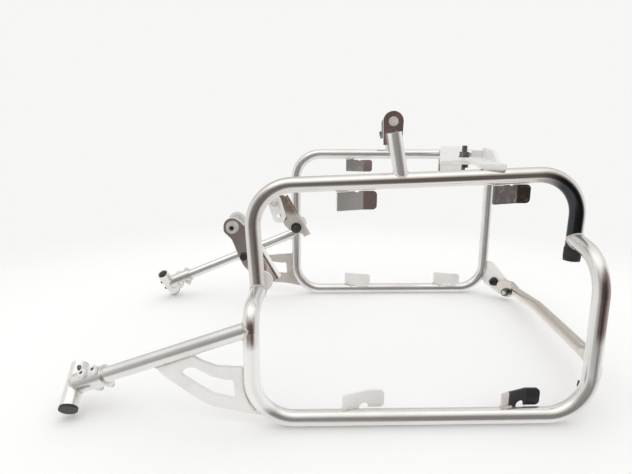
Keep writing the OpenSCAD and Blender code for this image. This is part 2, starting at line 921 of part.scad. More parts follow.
// Each strip slopes down from its tube in direction p, then lies level with a pad beside it for the bolt
level_l = 26;
pad_r = 14;
end_l = level_l + 13;
module strip(seat, p, z, w) {
    x = cross(p, [0, 0, 1]);
    reach = [joint.x - seat.x, joint.y - seat.y, 0];
    fold = [seat.x, seat.y, z] + (reach * p - level_l) * p;
    d = unit(fold - seat);
    difference() {
        union() {
            frame_at(seat, x, d, cross(x, d)) translate([-w / 2, -6, 0]) cube([w, norm(fold - seat) + 6.5, strip_t]);
            frame_at(fold, x, p, [0, 0, 1]) linear_extrude(strip_t) strip_pad(reach * x, w / 2 - lip);
        }
        translate([joint.x, joint.y, z - 5]) cylinder(d = m8 + 2 * hole_play, h = strip_t + 10);
    }
    frame_at(fold, x, p, [0, 0, 1]) children();
}

module strip_pad(a, r) {
    edge = [
        [-r, -0.5], [r, -0.5], [r, end_l], [a - pad_r, end_l + 1], [a - pad_r, level_l - pad_r], [-r, level_l - pad_r - 2]
    ];
    polygon(rounded(edge, [0, 0, 4, 13, 13, 4]));
}

// Upturned stiffening flanges on the near strip's rear edge and far end
flange_h = 16;
flange_run = [-150, -78];
module near_rear_strip() {
    r = near_strip_w / 2;
    side = [[flange_run[0], 0], [end_l - 0.5, 0], [end_l - 0.5, flange_h], [flange_run[1], flange_h]];
    steel_part() difference() {
        strip(near_seat, near_run, joint.z, near_strip_w) {
            translate([r - strip_t + 0.5, 0, 3]) rotate([90, 0, 90]) linear_extrude(strip_t - 1)
                polygon(rounded(side, [0, 0, 6, 20]));
            translate([-7, end_l - strip_t, 2]) cube([r + 6.3, strip_t - 1, flange_h - 3]);
        }
        rod(near_top(180), near_top(260), cope_d);
    }
}

// The far strip's end is turned down
module far_rear_strip() {
    r = strip_w / 2;
    steel_part() difference() {
        strip(far_seat, far_run, joint.z - strip_t - seat_gap, strip_w)
            translate([-14, end_l - strip_t + 0.4, -15]) cube([r + 13, strip_t - 1, 17]);
        rod([220, yf, far_top], [340, yf, far_top], cope_d);
    }
}

module strip_bolt() {
    low = joint.z - strip_t - seat_gap;
    dark_part() translate([joint.x, joint.y, 0]) {
        translate([0, 0, low - 5.5]) hex(13, 5.5);
        translate([0, 0, low - 0.5]) cylinder(d = m8 - 0.4, h = 28);
    }
}

module strip_washer() {
    dark_part() translate([joint.x, joint.y, joint.z + strip_t]) pipe(16, m8 + hole_play, washer_t);
}

module strip_nut() {
    dark_part() translate([joint.x, joint.y, joint.z + strip_t + washer_t]) difference() {
        hex(13, 6.5);
        translate([0, 0, -1]) cylinder(d = m8 + 2 * seat_gap, h = 9);
    }
}

near_upper_hoop();
near_lower_hoop();
far_loop();
hoop_end_plug();
tab_near_top_front();
tab_near_top_rear();
tab_near_low_front();
tab_near_low_rear();
tab_far_top_front();
tab_far_top_rear();
tab_far_low_front();
tab_far_low_rear();
near_upright();
far_upright();
near_eyelet();
far_eyelet();
near_eyelet_screw();
far_upright_bolt();
near_arm();
far_arm();
near_gusset();
far_gusset();
near_sleeve();
far_sleeve();
near_cross_tube();
far_cross_tube();
near_cross_plug();
far_cross_plug();
clamp_bolts();
clamp_nuts();
cross_tube_screws();
near_bracket_plate();
far_bracket_plate();
near_link_plate();
far_link_plate();
near_link_spacer();
far_link_spacer();
near_ear();
far_ear();
near_ear_spacer();
far_ear_spacer();
link_bolts();
link_washers();
link_nuts();
ear_bolts();
rubber_washers();
plate_screws();
crossbar();
near_corner_bracket();
far_corner_bracket();
bar_bolts();
bar_nuts();
corner_bolts();
corner_nuts();
near_rear_strip();
far_rear_strip();
strip_bolt();
strip_washer();
strip_nut();
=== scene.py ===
"""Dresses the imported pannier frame: stainless finishes, weld beads, threads, a pale studio and the camera.

Sizes are in millimetres in the rack frame, X towards the bike's rear and Y away from the viewer, and place()
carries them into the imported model's frame in metres. Finishes and their zones are in metres.
"""
import logging
import math
from abc import ABC, abstractmethod
from dataclasses import dataclass, field, replace
from enum import Enum
from typing import Any, Sequence

import bpy
from mathutils import Matrix, Vector


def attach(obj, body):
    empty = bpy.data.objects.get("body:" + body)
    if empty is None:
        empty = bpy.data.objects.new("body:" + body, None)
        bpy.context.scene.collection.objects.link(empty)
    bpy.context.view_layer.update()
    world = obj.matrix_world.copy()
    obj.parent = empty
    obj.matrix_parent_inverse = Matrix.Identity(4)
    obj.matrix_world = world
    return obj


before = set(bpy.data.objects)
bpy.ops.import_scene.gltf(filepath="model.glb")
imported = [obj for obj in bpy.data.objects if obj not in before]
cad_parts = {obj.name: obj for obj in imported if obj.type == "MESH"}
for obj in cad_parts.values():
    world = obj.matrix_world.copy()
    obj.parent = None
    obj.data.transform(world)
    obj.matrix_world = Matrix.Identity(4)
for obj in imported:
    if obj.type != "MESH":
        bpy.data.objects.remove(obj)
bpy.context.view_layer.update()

LOG = logging.getLogger("pannier_frame")
MIDDLE = Vector((61.85, 165.75, 0.0))
SIDES = (("near", False), ("far", True))
NODE_CREASE = 32.0
TURNED_CREASE = 40.0
Triple = tuple[float, float, float]


def place(point: Sequence[float]) -> Vector:
    """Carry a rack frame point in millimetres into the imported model's frame in metres."""
    return (Vector(point) - MIDDLE) / 1000.0


def held(*point: float) -> Any:
    """Give a dataclass field whose default is a vector."""
    return field(default_factory=lambda: Vector(point))


def cross_axes(direction: Vector) -> tuple[Vector, Vector]:
    """Give two unit directions square to a direction and to each other.

    Args:
        direction: A unit direction.

    Returns:
        The two directions, right-handed with the given one last.
    """
    guide = Vector((1, 0, 0)) if abs(direction.z) > 0.9 else Vector((0, 0, 1))
    first = guide.cross(direction).normalized()
    return first, direction.cross(first)


class Tone(Enum):
    """The finishes that the frame's pieces take."""

    TUBE = "polished tube"
    # Carries a painted dark reflection on its rear bend and leg.
    HOOP = "polished tube that mirrors a dark corner"
    SATIN = "dulled tube"
    # Carries painted reflections: brown at the rear, pale and brown on the front leg.
    LOWER = "dulled tube that mirrors a brown wall at the rear"
    DUSTY = "pale brushed tube"
    PLATE = "satin plate"
    # Carries painted pink and brown reflections on faces turned towards the viewer.
    MIRROR = "polished plate"
    SOOTY = "stained plate"
    CAPPED = "plate with a black panel"
    # Tan, with a painted dark reflection on its upper part.
    TAN = "weathered plate"
    BRIGHT = "bright fastener"
    WELD = "weld bead"
    DARK = "dark steel"
    BLACK = "black steel"
    PLASTIC = "black plastic"
    RUBBER = "black rubber"


@dataclass
class Sheet:
    """Writes nodes and links into one node tree."""

    tree: bpy.types.NodeTree

    def add(self, kind: str, **settings: Any) -> bpy.types.Node:
        """Add a node and set its properties.

        Args:
            kind: Blender's name for the node type, without the ShaderNode part.
            settings: Properties to set on the node.

        Returns:
            The new node.
        """
        node = self.tree.nodes.new("ShaderNode" + kind)
        for key, value in settings.items():
            setattr(node, key, value)
        return node

    def join(self, source: Any, target: Any) -> None:
        """Link an output to an input, or set the input where the source is a plain value."""
        if isinstance(source, bpy.types.NodeSocket):
            self.tree.links.new(source, target)
        else:
            target.default_value = source

    def math(self, operation: str, first: Any, second: Any = 0.0) -> bpy.types.NodeSocket:
        """Add a Math node and give its output."""
        node = self.add("Math", operation=operation)
        self.join(first, node.inputs[0])
        self.join(second, node.inputs[1])
        return node.outputs[0]

    def product(self, *factors: Any) -> Any:
        """Multiply values one after another."""
        total = factors[0]
        for factor in factors[1:]:
            total = self.math("MULTIPLY", total, factor)
        return total

    def ramp(self, value: Any, low: Any, high: Any, start: float = 0.0, end: float = 1.0) -> bpy.types.NodeSocket:
        """Map a value smoothly from low..high to start..end.

        Args:
            value: The incoming value.
            low: Value that gives start.
            high: Value that gives end.
            start: Output at low.
            end: Output at high.

        Returns:
            The mapped output.
        """
        node = self.add("MapRange", interpolation_type="SMOOTHSTEP")
        for socket, number in zip(node.inputs[:5], (value, low, high, start, end)):
            self.join(number, socket)
        return node.outputs[0]

    def blend(self, factor: Any, first: Any, second: Any) -> bpy.types.NodeSocket:
        """Mix two colours by a factor and give the result."""
        node = self.add("Mix", data_type="RGBA")
        for index, source in ((0, factor), (6, first), (7, second)):
            self.join(source, node.inputs[index])
        return node.outputs[2]

    def where(self) -> bpy.types.NodeSocket:
        """Give the piece's own coordinates."""
        return self.add("TexCoord").outputs["Object"]

    def facing(self, normal: Any, direction: Any) -> bpy.types.NodeSocket:
        """Give how far a normal turns towards a direction, 1 where they agree."""
        node = self.add("VectorMath", operation="DOT_PRODUCT")
        self.join(normal, node.inputs[0])
        self.join(direction, node.inputs[1])
        return node.outputs["Value"]

    def noise(self, place_at: Any, scale: Any, **settings: float) -> bpy.types.NodeSocket:
        """Add a noise texture and give its value.

        Args:
            place_at: The coordinates.
            scale: The noise's scale.
            settings: Other inputs, by name.

        Returns:
            The noise's value.
        """
        node = self.add("TexNoise")
        self.join(place_at, node.inputs["Vector"])
        self.join(scale, node.inputs["Scale"])
        for name, value in settings.items():
            node.inputs[name].default_value = value
        return node.outputs[0]


class EffectLibrary:
    """Shader node groups shared by the finishes, each built once."""

    def __init__(self) -> None:
        """Build the groups."""
        self.grain = self._grain()
        self.smudge = self._smudge()
        self.soft_edge = self._soft_edge()
        self.speckle = self._speckle()
        self.region = self._region()

    @staticmethod
    def _group(name: str, inputs: dict[str, Any], outputs: Sequence[str] = ("Mask",)) -> tuple[Any, ...]:
        """Start a group with named sockets.

        Args:
            name: The group's name.
            inputs: Default of each input, a number or a vector.
            outputs: The outputs, vectors where they are called Normal and numbers otherwise.

        Returns:
            The group, a sheet on it, its input node and its output node.
        """
        group = bpy.data.node_groups.new(name, "ShaderNodeTree")
        for label, value in inputs.items():
            kind = "NodeSocketVector" if isinstance(value, tuple) else "NodeSocketFloat"
            group.interface.new_socket(label, in_out="INPUT", socket_type=kind).default_value = value
        for label in outputs:
            kind = "NodeSocketVector" if label == "Normal" else "NodeSocketFloat"
            group.interface.new_socket(label, in_out="OUTPUT", socket_type=kind)
        return group, Sheet(group), group.nodes.new("NodeGroupInput"), group.nodes.new("NodeGroupOutput")

    def _grain(self) -> bpy.types.NodeTree:
        """Fine brushed lines, long in one direction."""
        group, sheet, given, out = self._group("brushed_grain", {"Stretch": (1.0, 1.0, 1.0), "Scale": 900.0})
        mapping = sheet.add("Mapping")
        sheet.join(sheet.where(), mapping.inputs["Vector"])
        sheet.join(given.outputs["Stretch"], mapping.inputs["Scale"])
        lines = sheet.noise(mapping.outputs[0], given.outputs["Scale"], Detail=3.0, Roughness=0.62)
        sheet.join(lines, out.inputs["Mask"])
        return group

    def _smudge(self) -> bpy.types.NodeTree:
        """Broad cloudy marks from handling and polishing."""
        group, sheet, given, out = self._group("handling_smudges", {"Scale": 24.0, "Cover": 0.5})
        clouds = sheet.noise(sheet.where(), given.outputs["Scale"], Detail=4.0, Distortion=0.6)
        bare = sheet.product(sheet.math("SUBTRACT", 1.0, given.outputs["Cover"]), 0.5)
        sheet.join(sheet.ramp(sheet.math("SUBTRACT", clouds, bare), 0.1, 0.45), out.inputs["Mask"])
        return group

    def _soft_edge(self) -> bpy.types.NodeTree:
        """Rounded shading on cut edges, and a mask where an edge is near."""
        group, sheet, given, out = self._group("soft_edge", {"Radius": 0.0005}, ("Normal", "Mask"))
        bevel = sheet.add("Bevel", samples=4)
        sheet.join(given.outputs["Radius"], bevel.inputs["Radius"])
        agree = sheet.facing(bevel.outputs[0], sheet.add("NewGeometry").outputs["Normal"])
        sheet.join(bevel.outputs[0], out.inputs["Normal"])
        sheet.join(sheet.ramp(agree, 0.99, 0.85), out.inputs["Mask"])
        return group

    def _speckle(self) -> bpy.types.NodeTree:
        """Small pits and specks, as in cast plastic or a dusty coat."""
        group, sheet, given, out = self._group("specks", {"Scale": 1500.0})
        cells = sheet.add("TexVoronoi")
        sheet.join(sheet.where(), cells.inputs["Vector"])
        sheet.join(given.outputs["Scale"], cells.inputs["Scale"])
        sheet.join(sheet.ramp(cells.outputs["Distance"], 0.1, 0.5), out.inputs["Mask"])
        return group

    def _region(self) -> bpy.types.NodeTree:
        """A soft-edged box in object space, broken up by cloudy marks where Mottle is over 0."""
        group, sheet, given, out = self._group(
            "region", {"Low": (0.0, 0.0, 0.0), "High": (1.0, 1.0, 1.0), "Soft": (0.01, 0.01, 0.01), "Mottle": 0.0,
                       "Facing": (0.0, 0.0, 0.0), "Full": 1.0, "None": 2.0})
        where = sheet.where()
        parts = []
        for source in (where, given.outputs["Low"], given.outputs["High"], given.outputs["Soft"]):
            split = sheet.add("SeparateXYZ")
            sheet.join(source, split.inputs[0])
            parts.append(split.outputs)
        mask: Any = 1.0
        for here, low, high, soft in zip(*parts):
            above = sheet.ramp(here, sheet.math("SUBTRACT", low, soft), low)
            below = sheet.ramp(here, sheet.math("ADD", high, soft), high)
            mask = sheet.product(mask, above, below)
        turn = sheet.facing(sheet.add("NewGeometry").outputs["Normal"], given.outputs["Facing"])
        mask = sheet.product(mask, sheet.ramp(turn, given.outputs["None"], given.outputs["Full"]))
        clouds = sheet.noise(where, 130.0, Detail=4.0, Distortion=1.2)
        holes = sheet.product(sheet.ramp(clouds, 0.56, 0.4), given.outputs["Mottle"])
        sheet.join(sheet.product(mask, sheet.math("SUBTRACT", 1.0, holes)), out.inputs["Mask"])
        return group


@dataclass(frozen=True)
class Zone:
    """A soft-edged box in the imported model's metres where a finish changes colour.

    Facing and its two limits narrow it to surfaces turned a certain way: full at one limit, none at the other.
    """

    low: Triple
    high: Triple
    soft: Triple
    colour: Triple
    mottle: float = 0.0
    facing: Triple = (0.0, 0.0, 0.0)
    full: float = 1.0
    none: float = 2.0
    metallic: float | None = None


@dataclass(frozen=True)
class Finish:
    """One procedural material."""

    label: str
    slot: str
    colour: Triple
    shade: Triple
    edge: Triple
    metallic: float
    rough: tuple[float, float]
    grain_stretch: Triple = (1.0, 1.0, 1.0)
    grain_scale: float = 900.0
    grain_depth: float = 0.00002
    smudge_scale: float = 24.0
    cover: float = 0.5
    edge_radius: float = 0.0004
    speck_scale: float = 0.0
    specular: float = 0.5
    zones: tuple[Zone, ...] = ()

    def _zoned(self, sheet: Sheet, effects: EffectLibrary, toned: Any) -> tuple[Any, Any]:
        """Lay the zones over a colour.

        Args:
            sheet: The material's sheet.
            effects: The shared node groups.
            toned: The colour so far.

        Returns:
            The colour and the metallic value.
        """
        metal: Any = self.metallic
        for zone in self.zones:
            region = sheet.add("Group", node_tree=effects.region)
            for label in ("Low", "High", "Soft", "Mottle", "Facing", "Full", "None"):
                region.inputs[label].default_value = getattr(zone, label.lower())
            mask = region.outputs["Mask"]
            toned = sheet.blend(mask, toned, (*zone.colour, 1.0))
            if zone.metallic is not None:
                metal = sheet.math("ADD", sheet.product(metal, sheet.math("SUBTRACT", 1.0, mask)),
                                   sheet.product(mask, zone.metallic))
        return toned, metal

    def build(self, effects: EffectLibrary) -> bpy.types.Material:
        """Make the material.

        Args:
            effects: The shared node groups.

        Returns:
            The finished material.
        """
        material = bpy.data.materials.new(self.label)
        material.use_nodes = True
        sheet = Sheet(material.node_tree)
        shader = next(n for n in material.node_tree.nodes if n.type == "BSDF_PRINCIPLED")
        grain = sheet.add("Group", node_tree=effects.grain)
        grain.inputs["Stretch"].default_value = self.grain_stretch
        grain.inputs["Scale"].default_value = self.grain_scale
        smudge = sheet.add("Group", node_tree=effects.smudge)
        smudge.inputs["Scale"].default_value = self.smudge_scale
        smudge.inputs["Cover"].default_value = self.cover
        rim = sheet.add("Group", node_tree=effects.soft_edge)
        rim.inputs["Radius"].default_value = self.edge_radius
        toned = sheet.blend(smudge.outputs["Mask"], (*self.colour, 1.0), (*self.shade, 1.0))
        toned = sheet.blend(rim.outputs["Mask"], toned, (*self.edge, 1.0))
        toned, metal = self._zoned(sheet, effects, toned)
        sheet.join(toned, shader.inputs["Base Color"])
        sheet.join(metal, shader.inputs["Metallic"])
        mixed = sheet.math("ADD", sheet.product(grain.outputs["Mask"], 0.6),
                           sheet.product(smudge.outputs["Mask"], 0.4))
        sheet.join(sheet.ramp(mixed, 0.1, 0.9, *self.rough), shader.inputs["Roughness"])
        bump = sheet.add("Bump")
        bump.inputs["Strength"].default_value = 1.0
        bump.inputs["Distance"].default_value = self.grain_depth
        height = grain.outputs["Mask"]
        if self.speck_scale:
            specks = sheet.add("Group", node_tree=effects.speckle)
            specks.inputs["Scale"].default_value = self.speck_scale
            height = sheet.math("ADD", height, specks.outputs["Mask"])
        sheet.join(height, bump.inputs["Height"])
        sheet.join(rim.outputs["Normal"], bump.inputs["Normal"])
        sheet.join(bump.outputs[0], shader.inputs["Normal"])
        shader.inputs["Specular IOR Level"].default_value = self.specular
        return material


EVERYWHERE = ((-1.0, -1.0, -1.0), (1.0, 1.0, 1.0), (0.1, 0.1, 0.1))
VIEWER = (0.0, -1.0, 0.0)
POLISHED = Finish("polished_tube", "tube_steel", (0.80, 0.78, 0.755), (0.72, 0.69, 0.66), (0.86, 0.85, 0.83), 1.0,
                  (0.13, 0.24), grain_scale=260.0, grain_depth=0.00001, smudge_scale=11.0, cover=0.45,
                  edge_radius=0.0003)
DULLED = Finish("dulled_tube", "tube_steel", (0.82, 0.81, 0.79), (0.76, 0.74, 0.715), (0.86, 0.85, 0.83), 0.84,
                (0.17, 0.28), grain_scale=300.0, grain_depth=0.000003, smudge_scale=14.0, edge_radius=0.0003)
SHEETED = Finish("satin_plate", "plate_steel", (0.87, 0.86, 0.84), (0.81, 0.8, 0.775), (0.89, 0.88, 0.86), 0.24,
                 (0.36, 0.5), grain_stretch=(1, 1, 7), grain_scale=420.0, smudge_scale=30.0, edge_radius=0.0005)
KHAKI_BAR = Zone((-1, -0.19, -1), (1, 0.19, 0.07), (0.1, 0.03, 0.01), (0.70, 0.65, 0.58), 0.3)
# Painted dark reflection: near-black on the upper hoop's rear bend and leg where the surface turns away from up and
# rearwards.
HOOP_PAINTED_REFLECTION = Zone((0.232, -0.2, 0.15), (0.3, -0.1, 0.3), (0.036, 0.01, 0.01), (0.055, 0.058, 0.064),
                   facing=(0.8, 0.0, 0.6), full=0.12, none=0.5)
# Painted reflection of a brown wall on the lower hoop's rear part, on faces turned towards the viewer.
REAR_PAINTED_REFLECTION = Zone((0.24, -0.4, 0.112), (0.4, 0.1, 0.178), (0.012, 0.01, 0.022), (0.37, 0.30, 0.28),
                  facing=(0.1, -0.99, 0.0), full=0.88, none=0.72, metallic=1.0)
# Painted pale reflection: the lower hoop's front leg made pale and nearly matt on faces turned towards the viewer.
LEG_PAINTED_PALE_REFLECTION = Zone((-0.2, -0.4, 0.03), (-0.1, -0.15, 0.09), (0.02, 0.02, 0.012), (0.86, 0.85, 0.83),
                facing=VIEWER, full=0.4, none=-0.2, metallic=0.15)
# Painted brown reflection on the lower hoop's front leg, on faces turned straight at the viewer.
SPOT_PAINTED_REFLECTION = Zone((-0.2, -0.4, 0.108), (-0.1, -0.19, 0.124), (0.01, 0.01, 0.012), (0.58, 0.46, 0.43),
                  facing=VIEWER, full=0.97, none=0.84, metallic=1.0)
# Painted dark reflection: mottled dark brown over the far bracket's upper part.
FLANGE_PAINTED_REFLECTION = Zone((-0.3, 0.0, 0.178), (0.2, 0.4, 0.3), (0.01, 0.01, 0.012), (0.34, 0.27, 0.22), 0.35, metallic=0.9)
FLAT_MIRROR = Zone(*EVERYWHERE, (0.84, 0.83, 0.82), facing=VIEWER, full=0.88, none=0.8, metallic=1.0)
# Painted reflection: a pink-brown tint on polished plate faces turned straight at the viewer.
PINK_PAINTED_REFLECTION = Zone(*EVERYWHERE, (0.82, 0.70, 0.68), facing=VIEWER, full=0.97, none=0.94)
# Painted brown reflection on the eyelet plates' faces turned towards the viewer.
EYELET_PAINTED_REFLECTION = Zone((-1, -1, 0.285), (1, 1, 1), (0.1, 0.1, 0.006), (0.68, 0.55, 0.53),
                 facing=VIEWER, full=0.97, none=0.9)
BLACK_PANEL = Zone((0.167, -0.3, -0.01), (0.3, -0.1, 0.07), (0.0016, 0.01, 0.01), (0.045, 0.043, 0.048))

FINISHES: dict[Tone, Finish] = {
    Tone.TUBE: replace(POLISHED, zones=(KHAKI_BAR,)),
    Tone.HOOP: replace(POLISHED, label="hoop_tube", grain_depth=0.000006, zones=(HOOP_PAINTED_REFLECTION,)),
    Tone.SATIN: DULLED,
    Tone.LOWER: replace(DULLED, label="lower_tube", zones=(REAR_PAINTED_REFLECTION, LEG_PAINTED_PALE_REFLECTION, SPOT_PAINTED_REFLECTION)),
    Tone.DUSTY: replace(DULLED, label="pale_tube", colour=(0.84, 0.835, 0.82), shade=(0.78, 0.765, 0.745),
                        edge=(0.87, 0.86, 0.84), metallic=0.82, rough=(0.14, 0.22)),
    Tone.PLATE: SHEETED,
    Tone.TAN: replace(SHEETED, label="tan_plate_painted_reflection", colour=(0.72, 0.68, 0.62), shade=(0.58, 0.53, 0.47),
                      edge=(0.85, 0.83, 0.8), metallic=0.45, rough=(0.3, 0.44), smudge_scale=26.0,
                      edge_radius=0.0006, zones=(FLANGE_PAINTED_REFLECTION,)),
    Tone.MIRROR: replace(SHEETED, label="polished_plate", shade=(0.8, 0.78, 0.76), edge=(0.88, 0.87, 0.85),
                         metallic=0.25, rough=(0.16, 0.28), grain_depth=0.00001, smudge_scale=40.0, cover=0.45,
                         zones=(FLAT_MIRROR, PINK_PAINTED_REFLECTION, EYELET_PAINTED_REFLECTION)),
    Tone.SOOTY: replace(SHEETED, label="stained_plate", colour=(0.2, 0.18, 0.17), shade=(0.62, 0.57, 0.52),
                        edge=(0.5, 0.47, 0.44), metallic=1.0, rough=(0.2, 0.36), grain_stretch=(1, 1, 5),
                        smudge_scale=150.0, cover=0.2),
    Tone.CAPPED: replace(SHEETED, label="black_panel", colour=(0.75, 0.71, 0.67), shade=(0.6, 0.54, 0.5),
                         edge=(0.8, 0.78, 0.75), metallic=0.6, rough=(0.3, 0.46), grain_stretch=(1, 1, 5),
                         smudge_scale=90.0, cover=0.4, zones=(BLACK_PANEL,)),
    Tone.BRIGHT: Finish("bright_fastener", "bright_fasteners", (0.86, 0.85, 0.83), (0.6, 0.58, 0.55),
                        (0.88, 0.87, 0.85), 0.5, (0.26, 0.42), smudge_scale=90.0),
    Tone.WELD: Finish("weld_bead", "tube_steel", (0.84, 0.82, 0.78), (0.6, 0.54, 0.46), (0.86, 0.84, 0.8), 0.6,
                      (0.24, 0.42), grain_scale=1200.0, grain_depth=0.00008, smudge_scale=70.0, cover=0.55,
                      edge_radius=0.0002),
    Tone.DARK: Finish("dark_steel", "dark_steel", (0.2, 0.19, 0.175), (0.11, 0.1, 0.09), (0.34, 0.32, 0.3), 1.0,
                      (0.3, 0.46), grain_scale=1100.0, grain_depth=0.00003, smudge_scale=60.0),
    Tone.BLACK: Finish("black_steel", "black_steel", (0.022, 0.022, 0.024), (0.035, 0.033, 0.032),
                       (0.07, 0.067, 0.064), 0.0, (0.32, 0.5), grain_scale=1400.0, smudge_scale=50.0, cover=0.4,
                       speck_scale=2200.0),
    Tone.PLASTIC: Finish("black_plastic", "black_plastic", (0.016, 0.017, 0.019), (0.024, 0.024, 0.026),
                         (0.04, 0.04, 0.042), 0.0, (0.42, 0.58), grain_scale=1500.0, grain_depth=0.00003,
                         smudge_scale=40.0, cover=0.4, edge_radius=0.0006, speck_scale=1700.0),
    Tone.RUBBER: Finish("black_rubber", "black_rubber", (0.02, 0.02, 0.02), (0.032, 0.03, 0.029),
                        (0.045, 0.043, 0.04), 0.0, (0.6, 0.75), grain_scale=1300.0, grain_depth=0.00005,
                        smudge_scale=45.0, edge_radius=0.0006, speck_scale=1300.0, specular=0.3),
}


class Wardrobe:
    """All finishes, built, ready to hand out."""

    def __init__(self) -> None:
        """Build every finish once."""
        effects = EffectLibrary()
        self.materials = {tone: finish.build(effects) for tone, finish in FINISHES.items()}

    def dress_node(self, node: str, tone: Tone) -> None:
        """Give a carried-over node its finish and smooth shading, with its sharp edges kept.

        Args:
            node: The node's name.
            tone: Its finish.
        """
        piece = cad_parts[node]
        mesh = piece.data
        mesh.shade_smooth()
        mesh.set_sharp_from_angle(angle=math.radians(NODE_CREASE))
        if not mesh.materials:
            mesh.materials.append(None)
        for slot in piece.material_slots:
            slot.material = self.materials[tone]

    def dress_piece(self, piece: bpy.types.Object, tone: Tone) -> None:
        """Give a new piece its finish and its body."""
        piece.data.materials.append(self.materials[tone])
        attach(piece, "root")


def mesh_piece(name: str, points: Sequence[Vector], faces: Sequence[Sequence[int]]) -> bpy.types.Object:
    """Make a smooth mesh object from points in metres.

    Args:
        name: The piece's name.
        points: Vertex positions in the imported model's frame.
        faces: Vertex numbers of each face.

    Returns:
        The new object, linked to the scene.
    """
    mesh = bpy.data.meshes.new(name)
    mesh.from_pydata([tuple(p) for p in points], [], [tuple(f) for f in faces])
    mesh.shade_smooth()
    piece = bpy.data.objects.new(name, mesh)
    bpy.context.scene.collection.objects.link(piece)
    return piece


def ring(centre: Vector, first: Vector, second: Vector, radius: float, count: int) -> list[Vector]:
    """Give evenly spaced points on a circle, from the first direction towards the second."""
    angles = [2 * math.pi * k / count for k in range(count)]
    return [centre + (first * math.cos(a) + second * math.sin(a)) * radius for a in angles]


def skin(rows: int, sides: int, closed: bool = False) -> list[tuple[int, ...]]:
    """Join rings of points with four-sided faces.

    Args:
        rows: Number of rings.
        sides: Points in each ring.
        closed: Whether the last ring joins the first.

    Returns:
        The faces, as vertex numbers.
    """
    faces = []
    for row in range(rows if closed else rows - 1):
        after = (row + 1) % rows
        for k in range(sides):
            m = (k + 1) % sides
            faces.append((row * sides + k, row * sides + m, after * sides + m, after * sides + k))
    return faces


@dataclass
class Bead:
    """A weld bead: overlapping rounded puddles along a path on the steel."""

    name: str
    path: list[Vector]
    closed: bool = False
    radius: float = 1.7
    pitch: float = 1.9
    sides: int = 8
    step: float = 0.45
    least: float = 0.84
    puddle: float = 0.26
    wobble: float = 0.06
    lag: float = 0.2

    def _walk(self) -> tuple[list[Vector], float]:
        """Resample the path at even steps.

        Returns:
            The points in millimetres and the step between them.
        """
        path = self.path + [self.path[0]] if self.closed else self.path
        lengths = [(b - a).length for a, b in zip(path, path[1:])]
        total = sum(lengths)
        count = max(4, round(total / self.step))
        points, index, passed = [], 0, 0.0
        for number in range(count + (0 if self.closed else 1)):
            goal = total * number / count
            while index < len(lengths) - 1 and passed + lengths[index] < goal:
                passed += lengths[index]
                index += 1
            part = (goal - passed) / max(lengths[index], 1e-9)
            points.append(path[index].lerp(path[index + 1], min(max(part, 0.0), 1.0)))
        return points, total / count

    def build(self) -> bpy.types.Object:
        """Build the bead's mesh."""
        points, step = self._walk()
        count = len(points)
        rings: list[Vector] = []
        for i, here in enumerate(points):
            before = points[i - 1] if self.closed or i else here
            after = points[(i + 1) % count] if self.closed or i < count - 1 else here
            along = (after - before).normalized()
            travel = i * step / self.pitch
            bulge = abs(math.sin(math.pi * travel))
            swell = self.least + self.puddle * bulge + self.wobble * math.sin(7.3 * travel + len(self.name))
            if not self.closed:
                swell *= min(1.0, 0.35 + 0.5 * min(i, count - 1 - i))
            centre = here - along * self.lag * bulge * self.radius
            rings += ring(centre, *cross_axes(along), self.radius * swell, self.sides)
        faces = skin(count, self.sides, self.closed)
        if not self.closed:
            faces.append(tuple(reversed(range(self.sides))))
            faces.append(tuple((count - 1) * self.sides + k for k in range(self.sides)))
        return mesh_piece(self.name, [place(p) for p in rings], faces)


@dataclass
class Turned:
    """A turned piece: a closed profile of radius and height pairs swept round an axis."""

    name: str
    start: Vector
    axis: Vector
    profile: Sequence[tuple[float, float]]
    segments: int = 40

    def build(self) -> bpy.types.Object:
        """Build the turned mesh."""
        axis = self.axis.normalized()
        points: list[Vector] = []
        for radius, height in self.profile:
            points += ring(self.start + axis * height, *cross_axes(axis), radius, self.segments)
        piece = mesh_piece(self.name, [place(p) for p in points], skin(len(self.profile), self.segments, True))
        piece.data.set_sharp_from_angle(angle=math.radians(TURNED_CREASE))
        return piece


def socket_profile(radius: float) -> list[tuple[float, float]]:
    """Profile of a thin dark disc that stands for a socket's shadowed floor."""
    middle, thick = 0.05, 0.08
    return [(middle, 0.0), (radius, 0.0), (radius, thick), (middle, thick)]


@dataclass
class Thread:
    """The cut thread on a bolt's free end, as a helical ridge just over the plain shank, with a chamfered tip."""

    name: str
    start: Vector
    axis: Vector
    diameter: float
    length: float
    pitch: float = 1.25
    segments: int = 20
    rows_per_turn: int = 6
    sunk: float = 0.02
    ridge: float = 0.26
    tip_rows: int = 4
    tip_step: float = 0.22

    def build(self) -> bpy.types.Object:
        """Build the threaded sleeve's mesh."""
        axis = self.axis.normalized()
        first, second = cross_axes(axis)
        n = self.segments
        rows = max(8, round(self.length / self.pitch * self.rows_per_turn))
        points: list[Vector] = []
        for row in range(rows + 1):
            height = self.length * row / rows
            for k in range(n):
                phase = (height / self.pitch - k / n) % 1.0
                radius = self.diameter / 2 - self.sunk + self.ridge * (1.0 - abs(2.0 * phase - 1.0))
                radius -= self.tip_step * max(0, row - rows + self.tip_rows)
                angle = 2 * math.pi * k / n
                points.append(self.start + axis * height
                              + (first * math.cos(angle) + second * math.sin(angle)) * radius)
        faces = skin(rows + 1, n)
        faces.append(tuple(rows * n + k for k in range(n)))
        return mesh_piece(self.name, [place(p) for p in points], faces)


